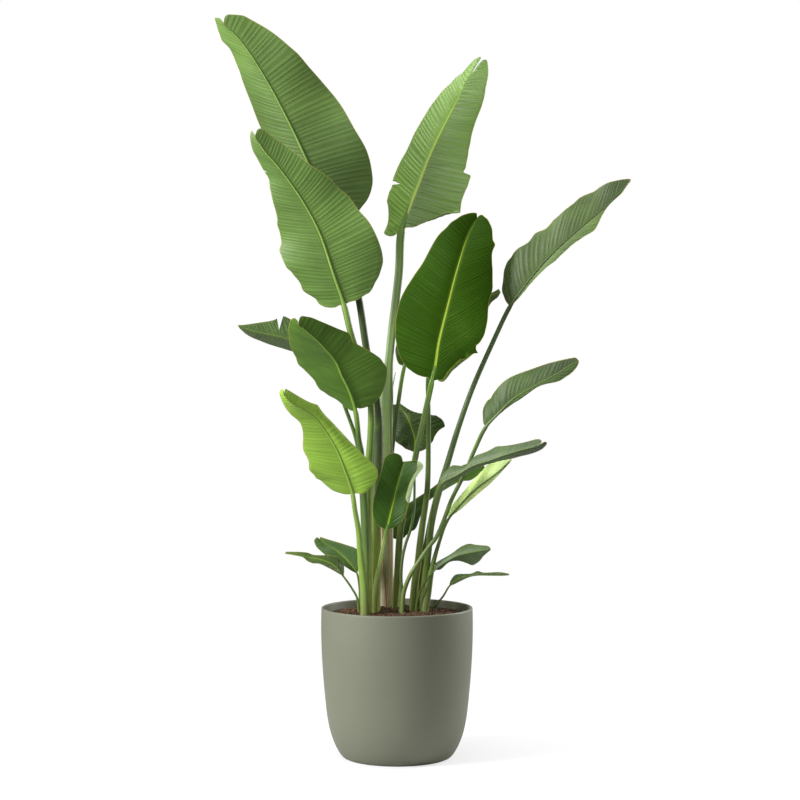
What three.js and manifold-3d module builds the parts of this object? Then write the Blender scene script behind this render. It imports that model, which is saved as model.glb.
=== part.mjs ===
// A potted bird of paradise: a round pot filled with soil, and one solid for each leaf.
// Millimetres, +Z up. The origin is the centre of the pot's foot, on the floor.
// A leaf is its stalk, its midrib and its blade, joined, and it stands in a plain hole in the soil.
//
// The leaves' points are [x, depth, z] as they are seen from the front, from the eye point below:
// x and z are measured in the plane of the pot's axis, and depth is how far a point lies behind
// that plane. The function sight() slides a point along its sight line to its true place.
import * as THREE from 'three';
import { mergeVertices } from 'three/addons/utils/BufferGeometryUtils.js';
import Module from 'manifold-3d';

const wasm = await Module();
wasm.setup();

// ---- driving dimensions ----
const EYE = new THREE.Vector3(6, -4000, 794);
const POT_HEIGHT = 300;
const POT_WALL = 6;
const POT_FLOOR = 8;
const POT_SEGMENTS = 36;
const POT_PROFILE = [
  [104, 0], [110, 3], [122, 21], [133, 49], [139.5, 79], [143.5, 113], [148, 164], [151, 215], [152, 260],
];
const LIP_RADIUS = 151.5;
const LIP_ROUNDING = 2;
const SOIL_GAP = 0.3;
const SOIL_EDGE = 284;
const SOIL_CENTRE = 293;
const SOIL_CRUMB = 1.6;
const CRUMB_SPAN = [9, 4];
const SOIL_RINGS = 4;
const HOLE_CLEARANCE = 0.4;
const HOLE_TOP = 330;
const BLADE_THICKNESS = 1.1;
const BASE_FAN = 0.12;
const PLEAT = 0.5;
const PLEAT_END = 0.9;
const STEM_SIDES = 6;
const STALK_TAPER = 1.4;
const SHEATH_FADE = 0.14;
const RIB_TAPER = 0.3;
const RIB_TIP = [1.3, 1.1];
const RIB_PROUD = 0.6;
const RIB_RISE = 0.17;
const RIB_END = 0.975;
const MERGE_WITHIN = 0.15;
const PATH_DIVISIONS = 24;
const EDGE_DIVISIONS = 400;
const SECTION_STEPS = 48;
const CURL_FADE = 0.04;
const NO_CURL = { from: 0, to: 0, start: 0.5, turn: 0 };
const SMALL_STEP = 0.004;
const POT_COLOUR = 0x8b8f80;
const SOIL_COLOUR = 0x4b382c;

// ---- the leaves ----
// Every list runs from the root or the leaf's foot to its tip. An edge is one half's margin as
// [x, z], and left and right are as seen from the front with the tip up. turn gives the slopes at
// the midrib and the margin, in degrees away from the viewer, at even steps along the leaf. A tear
// is [row, share of the half where it ends, opening at the margin]. A curl folds the margin over
// from one share of the leaf to another, starting at a share of the width, by turn degrees.
const LEAVES = {
  leaf_top_left: {
    underside: 'front',
    colour: 0x5d7a45,
    thick: { root: [10, 8], sheath: [10, 8, 0.5], foot: [7, 6] },
    steps: [8, 6],
    rows: 14,
    columns: 3,
    stalk: [
      [-43, 10, 262], [-43, 10, 335], [-43, 8, 415], [-42, 6, 495], [-39, 2, 575], [-38, -2, 655],
      [-41, -6, 715], [-61, -16, 817], [-76, -26, 915], [-92, -32, 985], [-108, -36, 1039],
    ],
    rib: [
      [-178, -50, 1189], [-214, -60, 1265], [-262, -72, 1355], [-310, -82, 1428], [-346, -88, 1464],
    ],
    left: {
      turn: [[24, 44], [30, 46], [26, 42]],
      edge: [
        [-142, 1051], [-188, 1105], [-232, 1179], [-273, 1261], [-290, 1305], [-307, 1349],
        [-314, 1371], [-320, 1386], [-327, 1403], [-333, 1415], [-341, 1424], [-349, 1432],
        [-353, 1443], [-357, 1454], [-360, 1465], [-363, 1477], [-359, 1477], [-353, 1476],
        [-349, 1471], [-347, 1467],
      ],
    },
    right: {
      turn: [[0, 8], [0, 10], [0, 8]], wave: 8, waves: 2.5,
      edge: [
        [-100, 1051], [-88, 1075], [-74, 1096], [-58, 1117], [-49, 1145], [-50, 1171], [-60, 1212],
        [-85, 1257], [-113, 1305], [-154, 1355], [-176, 1380], [-197, 1405], [-214, 1420],
        [-235, 1438], [-254, 1452], [-274, 1464], [-294, 1475], [-306, 1481], [-322, 1483],
        [-338, 1483], [-342, 1480], [-344, 1476], [-345, 1469],
      ],
    },
  },
  leaf_upper_left: {
    underside: 'front',
    colour: 0x55743d,
    thick: { root: [9.5, 8], foot: [6, 5.5] },
    steps: [8, 6],
    rows: 16,
    columns: 3,
    stalk: [
      [-57, -8, 262], [-57, -8, 335], [-58, -12, 417], [-60, -18, 495], [-57, -26, 575],
      [-52, -34, 651], [-53, -40, 711], [-72, -52, 783], [-93, -62, 851], [-106, -70, 905],
    ],
    rib: [
      [-126, -83, 963], [-156, -100, 1051], [-192, -114, 1117], [-238, -130, 1181], [-263, -138, 1209],
      [-283, -146, 1240],
    ],
    left: {
      turn: [[8, 28], [10, 28], [8, 24]], wave: 10, waves: 3,
      tears: [[12, 0.75, 5]],
      edge: [
        [-115, 904], [-124, 900], [-140, 900], [-151, 904], [-157, 909], [-163, 918], [-174, 925],
        [-183, 930], [-189, 936], [-192, 945], [-197, 954], [-205, 963], [-212, 972], [-220, 979],
        [-225, 988], [-232, 1005], [-235, 1013], [-234, 1019], [-231, 1028], [-232, 1039],
        [-235, 1053], [-239, 1065], [-239, 1077], [-243, 1095], [-248, 1112], [-252, 1131],
        [-254, 1140], [-255, 1153], [-258, 1161], [-266, 1173], [-274, 1188], [-281, 1201],
        [-288, 1214], [-291, 1225], [-293, 1237], [-293, 1245], [-290, 1253], [-287, 1249],
        [-284, 1242],
      ],
    },
    right: {
      turn: [[-3, 8], [-2, 8], [-2, 6]], wave: 8, waves: 2.5,
      edge: [
        [-94, 911], [-82, 914], [-70, 921], [-62, 926], [-56, 929], [-52, 934], [-48, 940], [-44, 949],
        [-37, 961], [-32, 975], [-28, 991], [-29, 1005], [-31, 1015], [-41, 1043], [-56, 1071],
        [-77, 1095], [-97, 1122], [-118, 1140], [-135, 1158], [-158, 1175], [-172, 1184], [-217, 1219],
        [-232, 1230], [-248, 1241], [-262, 1251], [-273, 1257], [-278, 1255], [-281, 1249],
        [-283, 1243],
      ],
    },
  },
  leaf_top_right: {
    underside: 'back',
    colour: 0x4c7a2c,
    thick: { root: [13.5, 9.5], sheath: [14.5, 9, 0.55], foot: [8.2, 6.5] },
    steps: [7, 5],
    rows: 18,
    columns: 3,
    stalk: [
      [-20, 58, 262], [-20, 58, 319], [-21, 57, 415], [-22, 54, 515], [-22, 50, 615], [-22, 46, 703],
      [-13, 42, 825], [-3, 40, 911], [4, 38, 973], [9, 38, 1053],
    ],
    rib: [
      [26, 46, 1103], [41, 54, 1141], [66, 68, 1205], [97, 84, 1269], [121, 96, 1315],
      [132, 102, 1339], [150, 110, 1365],
    ],
    left: {
      turn: [[14, 38], [18, 42], [14, 34]], fan: 0.02,
      tears: [[5, 0.66, 8.5]],
      edge: [
        [4, 1049], [-2, 1046], [-7, 1043], [-13, 1042], [-21, 1044], [-26, 1048], [-23, 1056],
        [-19, 1066], [-17, 1079], [-17, 1091], [-18, 1103], [-20, 1112], [-18, 1121], [-15, 1131],
        [-11, 1139], [-8, 1155], [0, 1176], [8, 1193], [18, 1210], [26, 1227], [34, 1245], [44, 1263],
        [56, 1283], [67, 1301], [80, 1318], [92, 1333], [107, 1347], [118, 1359], [131, 1368],
        [142, 1381], [155, 1394], [164, 1399], [168, 1398], [164, 1394], [158, 1386], [153, 1377],
        [150, 1369],
      ],
    },
    right: {
      turn: [[-4, -8], [-2, -4], [0, 0]], wave: 5, waves: 2, fan: 0.04, curl: { from: -0.1, to: 0.2, start: 0.86, turn: -150 },
      edge: [
        [18, 1059], [32, 1060], [40, 1063], [56, 1070], [75, 1076], [90, 1082], [107, 1087],
        [118, 1088], [126, 1089], [127, 1095], [129, 1111], [133, 1123], [137, 1133], [141, 1141],
        [144, 1151], [147, 1163], [143, 1165], [133, 1170], [137, 1178], [139, 1189], [142, 1203],
        [143, 1213], [146, 1226], [149, 1243], [154, 1261], [160, 1278], [168, 1298], [172, 1311],
        [175, 1323], [177, 1337], [179, 1347], [182, 1363], [182, 1376], [181, 1386], [179, 1393],
        [175, 1394], [170, 1392], [166, 1388], [162, 1381], [156, 1373], [152, 1367],
      ],
    },
  },
  leaf_broad_centre: {
    underside: 'back',
    colour: 0x2f5a1e,
    thick: { root: [8, 8], foot: [5.5, 5] },
    steps: [7, 5],
    rows: 14,
    columns: 3,
    stalk: [
      [-3, 36, 262], [-3, 36, 309], [1, 33, 365], [3, 28, 405], [7, 20, 455], [17, 8, 505],
      [28, -10, 555], [39, -34, 611], [56, -68, 688], [69, -90, 748],
    ],
    rib: [
      [77, -92, 789], [83, -90, 829], [101, -80, 903], [119, -66, 973], [144, -46, 1051],
      [160, -38, 1078],
    ],
    left: {
      turn: [[-5, 15], [-5, 20], [-5, 15]], wave: 8, waves: 2,
      edge: [
        [62, 760], [54, 761], [40, 766], [28, 774], [19, 781], [12, 791], [6, 802], [1, 816],
        [-2, 832], [-4, 847], [-3, 860], [-3, 873], [-1, 886], [2, 900], [6, 914], [10, 924],
        [18, 939], [25, 950], [36, 967], [50, 987], [62, 1009], [75, 1033], [86, 1048], [98, 1059],
        [108, 1070], [119, 1077], [128, 1083], [139, 1087], [148, 1089], [156, 1089], [159, 1088],
        [160, 1082],
      ],
    },
    right: {
      turn: [[-5, 8], [-5, 12], [-5, 10]], wave: 8, waves: 2, fan: 0.04, curl: { from: -0.1, to: 0.2, start: 0.8, turn: -165 },
      edge: [
        [75, 755], [78, 758], [84, 753], [92, 752], [98, 757], [104, 765], [110, 773], [118, 780],
        [130, 790], [144, 800], [154, 808], [162, 809], [159, 814], [158, 819], [159, 824], [164, 828],
        [169, 835], [174, 844], [178, 859], [181, 875], [182, 891], [183, 903], [185, 915], [188, 926],
        [191, 937], [191, 955], [191, 975], [190, 991], [190, 1007], [192, 1015], [196, 1024],
        [195, 1029], [192, 1034], [191, 1045], [190, 1057], [186, 1067], [181, 1076], [175, 1081],
        [170, 1085], [165, 1084], [161, 1080],
      ],
    },
  },
  leaf_mid_left: {
    underside: 'front',
    colour: 0x3f6630,
    thick: { root: [7, 6], foot: [5, 4.5] },
    steps: [6, 5],
    rows: 14,
    columns: 3,
    stalk: [
      [-61, -30, 262], [-61, -30, 355], [-62, -36, 435], [-65, -46, 515], [-71, -70, 611],
      [-76, -76, 635], [-83, -96, 693],
    ],
    rib: [
      [-96, -112, 734], [-110, -124, 762], [-122, -134, 790], [-142, -150, 815], [-168, -170, 841],
      [-197, -190, 865],
    ],
    left: {
      turn: [[30, 50], [32, 52], [25, 45]],
      edge: [
        [-90, 693], [-99, 698], [-108, 705], [-117, 713], [-125, 718], [-136, 724], [-146, 731],
        [-153, 735], [-160, 744], [-165, 754], [-176, 766], [-188, 778], [-197, 786], [-200, 793],
        [-202, 800], [-207, 809], [-212, 821], [-215, 832], [-216, 845], [-217, 857], [-215, 867],
        [-213, 874], [-209, 878], [-205, 879], [-200, 875], [-198, 869],
      ],
    },
    right: {
      turn: [[3, 16], [3, 16], [3, 12]], wave: 6, waves: 2,
      tears: [[8, 0.5, 0.5]],
      edge: [
        [-80, 699], [-74, 698], [-61, 701], [-54, 705], [-45, 709], [-38, 717], [-33, 723], [-28, 733],
        [-25, 741], [-22, 753], [-20, 765], [-20, 778], [-23, 784], [-28, 791], [-33, 798], [-42, 805],
        [-53, 812], [-62, 817], [-71, 822], [-80, 827], [-89, 832], [-92, 841], [-95, 847], [-99, 850],
        [-114, 856], [-135, 865], [-154, 873], [-171, 880], [-182, 882], [-190, 883], [-194, 880],
        [-196, 874], [-197, 868],
      ],
    },
  },
  leaf_far_left: {
    underside: 'front',
    colour: 0x4a7236,
    thick: { root: [6, 6], foot: [3.5, 3.5] },
    steps: [6, 4],
    rows: 11,
    columns: 3,
    stalk: [
      [-65, 22, 262], [-65, 22, 375], [-70, 10, 515], [-79, -12, 624], [-104, -34, 701],
      [-144, -54, 801],
    ],
    rib: [[-184, -62, 825], [-218, -70, 837], [-263, -80, 847], [-288, -86, 853], [-319, -92, 864]],
    left: {
      turn: [[45, 70], [45, 68], [40, 60]],
      edge: [
        [-174, 803], [-212, 813], [-228, 818], [-245, 823], [-260, 828], [-275, 834], [-290, 840],
        [-302, 847], [-310, 854], [-315, 859], [-317, 863],
      ],
    },
    right: {
      turn: [[20, 50], [22, 50], [20, 40]],
      tears: [[6, 0.3, 14]],
      edge: [
        [-162, 825], [-194, 859], [-214, 877], [-226, 882], [-235, 880], [-246, 875], [-254, 873],
        [-274, 870], [-294, 867], [-310, 865], [-315, 865],
      ],
    },
  },
  leaf_bright_left: {
    underside: 'front',
    colour: 0x7fa83f,
    thick: { root: [10, 9], foot: [4.5, 4] },
    steps: [7, 5],
    rows: 15,
    columns: 3,
    stalk: [
      [-64, -51, 262], [-64, -51, 295], [-66, -52, 343], [-71, -56, 385], [-74, -62, 417],
      [-77, -70, 453], [-84, -86, 493], [-89, -104, 527],
    ],
    rib: [
      [-96, -116, 551], [-107, -130, 581], [-119, -142, 611], [-136, -155, 641], [-159, -172, 673],
      [-181, -188, 692], [-202, -202, 703], [-216, -211, 713], [-227, -218, 726],
    ],
    left: {
      turn: [[12, 28], [14, 30], [10, 26]], wave: 6, waves: 2.5,
      edge: [
        [-102, 526], [-115, 529], [-130, 535], [-145, 547], [-154, 555], [-161, 558], [-167, 566],
        [-173, 572], [-176, 578], [-176, 587], [-178, 596], [-182, 604], [-186, 611], [-188, 619],
        [-188, 635], [-188, 649], [-190, 660], [-193, 668], [-199, 675], [-212, 686], [-222, 698],
        [-229, 711], [-234, 724], [-235, 730], [-232, 736], [-229, 737], [-228, 731],
      ],
    },
    right: {
      turn: [[-14, -4], [-24, 18], [-30, 50], [-24, 46], [-10, 8]],
      edge: [
        [-80, 528], [-72, 527], [-64, 529], [-56, 536], [-46, 547], [-39, 559], [-38, 567], [-40, 577],
        [-46, 585], [-54, 593], [-67, 605], [-79, 618], [-92, 630], [-104, 643], [-118, 658],
        [-130, 671], [-144, 685], [-154, 698], [-159, 705], [-168, 708], [-178, 712], [-191, 719],
        [-206, 728], [-216, 734], [-223, 737], [-225, 734], [-225, 728],
      ],
    },
  },
  leaf_low_centre: {
    underside: 'back',
    colour: 0x3c6b25,
    thick: { root: [8.8, 8], foot: [3.5, 3.5] },
    steps: [6, 4],
    rows: 11,
    columns: 3,
    stalk: [
      [-44, -27, 262], [-44, -27, 303], [-42, -30, 335], [-37, -35, 369], [-31, -47, 403],
      [-26, -58, 429], [-21, -74, 454],
    ],
    rib: [[-13, -80, 488], [-6, -78, 516], [0, -72, 543], [7, -64, 569], [12, -56, 591]],
    left: {
      turn: [[-10, 5], [-8, 8], [-5, 10]],
      edge: [
        [-29, 458], [-40, 465], [-47, 479], [-49, 495], [-47, 516], [-40, 543], [-33, 568], [-28, 589],
        [-25, 599], [-19, 605], [-14, 608], [-6, 609], [2, 607], [7, 604], [10, 599], [11, 594],
      ],
    },
    right: {
      turn: [[-10, -20], [-10, -25], [-10, -20]], curl: { from: 0.3, to: 0.84, start: 0.7, turn: -150, fade: 0.12 },
      edge: [
        [-10, 458], [0, 463], [10, 472], [16, 485], [19, 495], [21, 505], [24, 516], [28, 531],
        [35, 554], [40, 563], [46, 572], [52, 580], [51, 587], [46, 591], [41, 593], [26, 593],
        [16, 592], [13, 592],
      ],
    },
  },
  leaf_dark_back: {
    underside: 'back',
    colour: 0x274d1d,
    thick: { root: [3.8, 3.8], foot: [2.4, 2.4] },
    steps: [9, 4],
    rows: 10,
    columns: 2,
    stalk: [
      [7, -19, 262], [7, -19, 303], [9, -19, 335], [8, -18, 363], [11, -14, 399], [18, -8, 429],
      [27, 0, 455], [33, 12, 487], [35, 26, 525], [35, 40, 565], [35, 58, 610],
    ],
    rib: [[36, 66, 623], [35, 75, 641], [30, 86, 657], [22, 100, 677], [15, 112, 689], [-3, 128, 706]],
    left: {
      turn: [[-8, 20], [-8, 20], [-5, 15]],
      edge: [[26, 614], [16, 618], [10, 623], [2, 628], [-5, 635], [-12, 655], [-15, 683], [-10, 707]],
    },
    right: {
      turn: [[-8, 20], [-8, 20], [-5, 15]],
      edge: [
        [46, 612], [54, 615], [61, 620], [68, 628], [72, 633], [75, 641], [78, 646], [83, 653],
        [91, 659], [96, 662], [95, 667], [93, 672], [88, 678], [83, 681], [78, 684], [70, 685],
        [56, 687], [43, 689], [30, 693], [18, 700], [4, 710],
      ],
    },
  },
  leaf_upper_right: {
    underside: 'front',
    colour: 0x56783c,
    thick: { root: [8, 7], foot: [4.5, 4] },
    steps: [8, 6],
    rows: 14,
    columns: 3,
    stalk: [
      [44, 24, 262], [44, 24, 305], [47, 23, 335], [52, 20, 375], [59, 15, 415], [66, 8, 455],
      [75, 2, 499], [86, -4, 539], [99, -8, 581], [122, -16, 657], [150, -24, 736], [190, -30, 827],
      [226, -36, 902],
    ],
    rib: [
      [246, -44, 930], [284, -54, 979], [324, -64, 1021], [364, -74, 1057], [400, -82, 1087],
      [423, -88, 1106], [467, -100, 1155],
    ],
    left: {
      turn: [[10, 28], [12, 30], [10, 20]], wave: 10, waves: 3,
      edge: [
        [222, 906], [217, 913], [213, 923], [210, 932], [210, 941], [212, 953], [213, 964], [214, 974],
        [217, 983], [221, 992], [228, 1000], [234, 1010], [243, 1019], [254, 1025], [264, 1032],
        [269, 1039], [274, 1046], [281, 1051], [290, 1054], [298, 1058], [305, 1065], [312, 1074],
        [320, 1081], [332, 1092], [342, 1100], [354, 1109], [362, 1117], [372, 1123], [382, 1127],
        [394, 1132], [406, 1141], [421, 1149], [432, 1152], [446, 1155], [463, 1157],
      ],
    },
    right: {
      turn: [[-28, -14], [-34, -14], [-28, -10]],
      edge: [
        [234, 909], [251, 928], [266, 947], [275, 957], [293, 975], [302, 983], [315, 992],
        [326, 1003], [337, 1013], [350, 1025], [364, 1035], [378, 1044], [394, 1054], [402, 1067],
        [409, 1082], [418, 1097], [427, 1108], [438, 1118], [449, 1128], [458, 1141], [466, 1151],
      ],
    },
  },
  leaf_mid_right: {
    underside: 'front',
    colour: 0x7c9b52,
    thick: { root: [4.5, 4.5], foot: [4, 3.6] },
    steps: [9, 5],
    rows: 12,
    columns: 3,
    stalk: [
      [11, -31, 262], [11, -31, 303], [14, -34, 331], [27, -42, 365], [45, -45, 393], [64, -48, 421],
      [78, -50, 439], [91, -53, 467], [110, -57, 517], [137, -62, 571], [157, -71, 619],
      [178, -86, 661],
    ],
    rib: [
      [204, -98, 689], [228, -106, 713], [257, -114, 733], [283, -121, 747], [316, -129, 765],
      [363, -140, 795],
    ],
    left: {
      turn: [[10, 30], [12, 34], [8, 22]], wave: 8, waves: 2,
      edge: [
        [173, 668], [172, 677], [172, 695], [176, 706], [182, 715], [187, 718], [192, 727], [201, 739],
        [210, 749], [222, 758], [236, 765], [269, 777], [304, 789], [333, 796], [348, 799], [357, 800],
        [361, 797],
      ],
    },
    right: {
      turn: [[-24, -8], [-28, -8], [-24, -6]],
      edge: [
        [184, 666], [195, 679], [206, 689], [220, 699], [234, 709], [246, 716], [260, 726], [278, 739],
        [288, 744], [298, 747], [318, 751], [327, 754], [336, 760], [348, 768], [356, 776], [362, 785],
        [364, 792],
      ],
    },
  },
  leaf_lower_right: {
    underside: 'front',
    colour: 0x4b6b35,
    thick: { root: [8, 7], foot: [4, 3.6] },
    steps: [8, 5],
    rows: 13,
    columns: 2,
    stalk: [
      [53, 3, 262], [53, 2, 303], [55, -2, 335], [59, -10, 375], [64, -22, 415], [69, -38, 455],
      [74, -56, 495], [80, -71, 521], [90, -90, 548],
    ],
    rib: [
      [122, -104, 566], [151, -118, 583], [181, -132, 593], [216, -148, 605], [256, -164, 617],
      [284, -176, 624],
    ],
    left: {
      turn: [[12, 30], [12, 32], [10, 28]], wave: 8, waves: 2,
      edge: [
        [87, 556], [90, 564], [96, 571], [104, 579], [111, 584], [134, 583], [146, 587], [149, 589],
        [152, 596], [157, 603], [175, 610], [186, 615], [199, 622], [212, 623], [228, 625], [257, 631],
        [283, 637], [288, 635], [290, 632], [286, 628],
      ],
    },
    right: {
      turn: [[0, 18], [0, 20], [0, 16]],
      edge: [
        [98, 541], [102, 545], [110, 553], [118, 560], [140, 574], [163, 583], [180, 590], [195, 595],
        [231, 598], [246, 602], [263, 606], [276, 610], [289, 616], [296, 622], [300, 628], [299, 631],
        [295, 631], [289, 626],
      ],
    },
  },
  leaf_pale_right: {
    underside: 'front',
    colour: 0x9bb964,
    thick: { root: [9, 8], foot: [2.8, 2.6] },
    steps: [6, 4],
    rows: 10,
    columns: 2,
    stalk: [
      [56, -14, 262], [56, -14, 299], [61, -14, 325], [67, -14, 362], [73, -15, 390], [86, -18, 435],
      [96, -23, 463], [104, -28, 478],
    ],
    rib: [
      [120, -33, 497], [134, -38, 513], [150, -44, 529], [166, -50, 543], [186, -58, 558],
      [206, -66, 574], [229, -76, 596],
    ],
    left: {
      turn: [[20, 36], [22, 40], [16, 30]],
      edge: [
        [102, 485], [107, 499], [122, 518], [145, 545], [169, 572], [186, 589], [198, 593], [212, 595],
        [228, 598],
      ],
    },
    right: {
      turn: [[-10, -18], [-10, -20], [-8, -14]],
      edge: [
        [110, 483], [119, 490], [132, 500], [145, 512], [158, 523], [172, 535], [186, 547], [199, 560],
        [211, 573], [222, 585], [230, 595],
      ],
    },
  },
  leaf_low_back: {
    underside: 'back',
    colour: 0x23431a,
    thick: { root: [7, 6], foot: [3.6, 3.2] },
    steps: [4, 5],
    rows: 10,
    columns: 2,
    stalk: [[1, 84, 262], [1, 84, 315], [2, 84, 375], [3, 88, 411], [4, 92, 435]],
    rib: [
      [13, 98, 465], [34, 104, 491], [66, 112, 517], [106, 122, 543], [146, 132, 564], [175, 140, 583],
    ],
    left: {
      turn: [[-15, 30], [-15, 25], [-10, 20]],
      edge: [
        [-13, 440], [-21, 453], [-18, 479], [6, 497], [38, 518], [70, 539], [102, 565], [136, 586],
        [170, 588],
      ],
    },
    right: {
      turn: [[-15, 30], [-15, 25], [-10, 20]],
      edge: [
        [13, 438], [24, 451], [36, 456], [49, 487], [68, 519], [86, 539], [110, 550], [134, 553],
        [146, 554], [155, 559], [166, 568], [175, 577],
      ],
    },
  },
  leaf_sprout_right: {
    underside: 'front',
    colour: 0x5f7d45,
    thick: { root: [3, 3], foot: [2, 2] },
    steps: [5, 3],
    rows: 9,
    columns: 2,
    stalk: [[38, -20, 262], [38, -20, 295], [45, -23, 328], [60, -27, 355], [76, -32, 375]],
    rib: [[98, -38, 391], [118, -44, 402], [140, -50, 408], [162, -56, 412], [188, -62, 416]],
    left: {
      turn: [[20, 40], [25, 45], [15, 30]],
      edge: [
        [74, 384], [85, 393], [99, 401], [112, 409], [121, 416], [132, 423], [145, 427], [158, 425],
        [170, 424], [180, 423], [185, 421], [188, 417],
      ],
    },
    right: {
      turn: [[35, 60], [35, 60], [30, 50]],
      edge: [
        [86, 375], [102, 389], [108, 393], [115, 394], [128, 392], [140, 388], [151, 384], [158, 387],
        [166, 393], [173, 402], [182, 410], [187, 414],
      ],
    },
  },
  leaf_sprout_far_right: {
    underside: 'back',
    colour: 0x456d2e,
    thick: { root: [2.8, 2.8], foot: [1.8, 1.8] },
    steps: [5, 3],
    rows: 9,
    columns: 2,
    stalk: [[69, 36, 262], [69, 36, 295], [79, 36, 306], [92, 35, 321], [105, 33, 342]],
    rib: [[122, 30, 356], [146, 26, 363], [178, 20, 366], [225, 12, 366]],
    left: {
      turn: [[35, 55], [40, 60], [30, 50]],
      edge: [
        [106, 349], [108, 354], [112, 360], [116, 364], [122, 366], [148, 367], [154, 369], [161, 372],
        [174, 369], [202, 370], [214, 369], [223, 367],
      ],
    },
    right: {
      turn: [[-50, -65], [-60, -72], [-45, -60]],
      edge: [[115, 346], [129, 353], [145, 360], [160, 363], [185, 363], [215, 363], [225, 364]],
    },
  },
  leaf_sprout_far_left: {
    underside: 'back',
    colour: 0x4a7a2e,
    thick: { root: [3, 3], foot: [2, 2] },
    steps: [5, 3],
    rows: 10,
    columns: 2,
    stalk: [
      [-77, 0, 262], [-77, 0, 299], [-81, 0, 321], [-89, -1, 335], [-96, -3, 346], [-107, -6, 361],
    ],
    rib: [[-124, -10, 381], [-150, -16, 394], [-178, -22, 400], [-202, -28, 407], [-224, -33, 409]],
    left: {
      turn: [[-40, -60], [-40, -60], [-30, -50]],
      edge: [
        [-113, 365], [-125, 372], [-140, 380], [-156, 387], [-169, 388], [-179, 392], [-189, 400],
        [-206, 404], [-224, 407],
      ],
    },
    right: {
      turn: [[25, 45], [30, 50], [20, 40]],
      edge: [
        [-106, 372], [-107, 382], [-113, 392], [-121, 400], [-135, 404], [-151, 404], [-168, 405],
        [-179, 409], [-209, 411], [-222, 411],
      ],
    },
  },
  leaf_sprout_left: {
    underside: 'back',
    colour: 0x3f6d26,
    thick: { root: [3, 3], foot: [2, 2] },
    steps: [5, 3],
    rows: 9,
    columns: 2,
    stalk: [[-75, 20, 262], [-75, 20, 299], [-75, 20, 335], [-77, 21, 353], [-80, 22, 367]],
    rib: [[-94, 24, 387], [-108, 26, 402], [-124, 28, 415], [-140, 30, 423], [-156, 32, 435]],
    left: {
      turn: [[-20, -5], [-20, 0], [-15, 0]],
      edge: [
        [-88, 371], [-106, 382], [-128, 393], [-147, 407], [-155, 414], [-161, 420], [-165, 428],
        [-166, 434], [-163, 438], [-159, 440], [-157, 438],
      ],
    },
    right: {
      turn: [[-20, -5], [-20, 0], [-15, 0]],
      edge: [[-75, 383], [-75, 403], [-80, 416], [-105, 426], [-121, 431], [-138, 436], [-154, 441]],
    },
  },
  leaf_behind_centre_left: {
    underside: 'back',
    colour: 0x3f6d2a,
    thick: { root: [7, 7], foot: [4, 4] },
    steps: [6, 4],
    rows: 11,
    columns: 2,
    stalk: [
      [-19, 86, 262], [-19, 86, 319], [-18, 80, 435], [-16, 72, 515], [-10, 64, 613], [2, 52, 705],
      [15, 44, 783],
    ],
    rib: [[36, 60, 845], [66, 88, 925], [98, 120, 999], [124, 150, 1058]],
    left: {
      turn: [[-18, 20], [-20, 20], [-12, 15]],
      edge: [[4, 787], [-3, 811], [4, 845], [26, 909], [56, 965], [88, 1021], [118, 1057]],
    },
    right: {
      turn: [[-18, 20], [-20, 20], [-12, 15]],
      edge: [[30, 791], [56, 815], [86, 865], [116, 925], [132, 985], [136, 1025], [128, 1053]],
    },
  },
  leaf_behind_centre_right: {
    underside: 'back',
    colour: 0x47702f,
    thick: { root: [9, 7], foot: [4, 4] },
    steps: [7, 5],
    rows: 10,
    columns: 2,
    stalk: [
      [33, 8, 262], [33, 8, 303], [37, 8, 355], [42, 8, 387], [46, 8, 425], [51, 8, 465], [57, 9, 505],
      [61, 10, 541], [63, 12, 639], [63, 12, 697], [62, 14, 761],
    ],
    rib: [[74, 24, 825], [98, 40, 871], [136, 62, 905], [176, 84, 920], [206, 98, 933]],
    left: {
      turn: [[-18, 20], [-20, 20], [-12, 15]],
      edge: [
        [54, 779], [48, 815], [62, 865], [96, 909], [136, 921], [170, 923], [192, 931], [203, 937],
      ],
    },
    right: {
      turn: [[-18, 20], [-20, 20], [-12, 15]],
      edge: [
        [78, 771], [110, 791], [142, 819], [166, 855], [174, 879], [188, 909], [202, 921], [207, 930],
      ],
    },
  },
};

// the rolled young leaf behind the top right leaf's stalk: a plain tapering tube
const SPEAR = {
  underside: 'back',
  colour: 0x5c8a35,
  thick: { root: [3, 3], foot: [3.4, 3.4], tip: [0.7, 0.7] },
  steps: [6, 2],
  stalk: [[-32, 78, 262], [-32, 78, 335], [-28, 76, 453], [-24, 70, 615], [-15, 64, 695]],
  rib: [[-9, 60, 739], [-3, 57, 771]],
};

// ---- helpers ----
const degrees = Math.PI / 180;
const { smoothstep } = THREE.MathUtils;

function sight([x, depth, z]) {
  const seen = new THREE.Vector3(x, 0, z);
  return seen.sub(EYE).multiplyScalar((depth - EYE.y) / -EYE.y).add(EYE);
}

function smoothCurve(points) {
  return new THREE.CatmullRomCurve3(points, false, 'centripetal');
}

function toSolid(geometry) {
  const bare = geometry.clone();
  bare.deleteAttribute('normal');
  bare.deleteAttribute('uv');
  const merged = mergeVertices(bare, 1e-4);
  return new wasm.Manifold(new wasm.Mesh({
    numProp: 3,
    vertProperties: new Float32Array(merged.attributes.position.array),
    triVerts: new Uint32Array(merged.index.array),
  }));
}

function toGeometry(solid) {
  const mesh = solid.getMesh();
  const geometry = new THREE.BufferGeometry();
  geometry.setAttribute('position', new THREE.BufferAttribute(mesh.vertProperties, 3));
  geometry.setIndex(new THREE.BufferAttribute(mesh.triVerts, 1));
  geometry.computeVertexNormals();
  return geometry;
}

function closedGeometry(points, triangles) {
  const geometry = new THREE.BufferGeometry().setFromPoints(points);
  geometry.setIndex(triangles.flat());
  return geometry;
}

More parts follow.
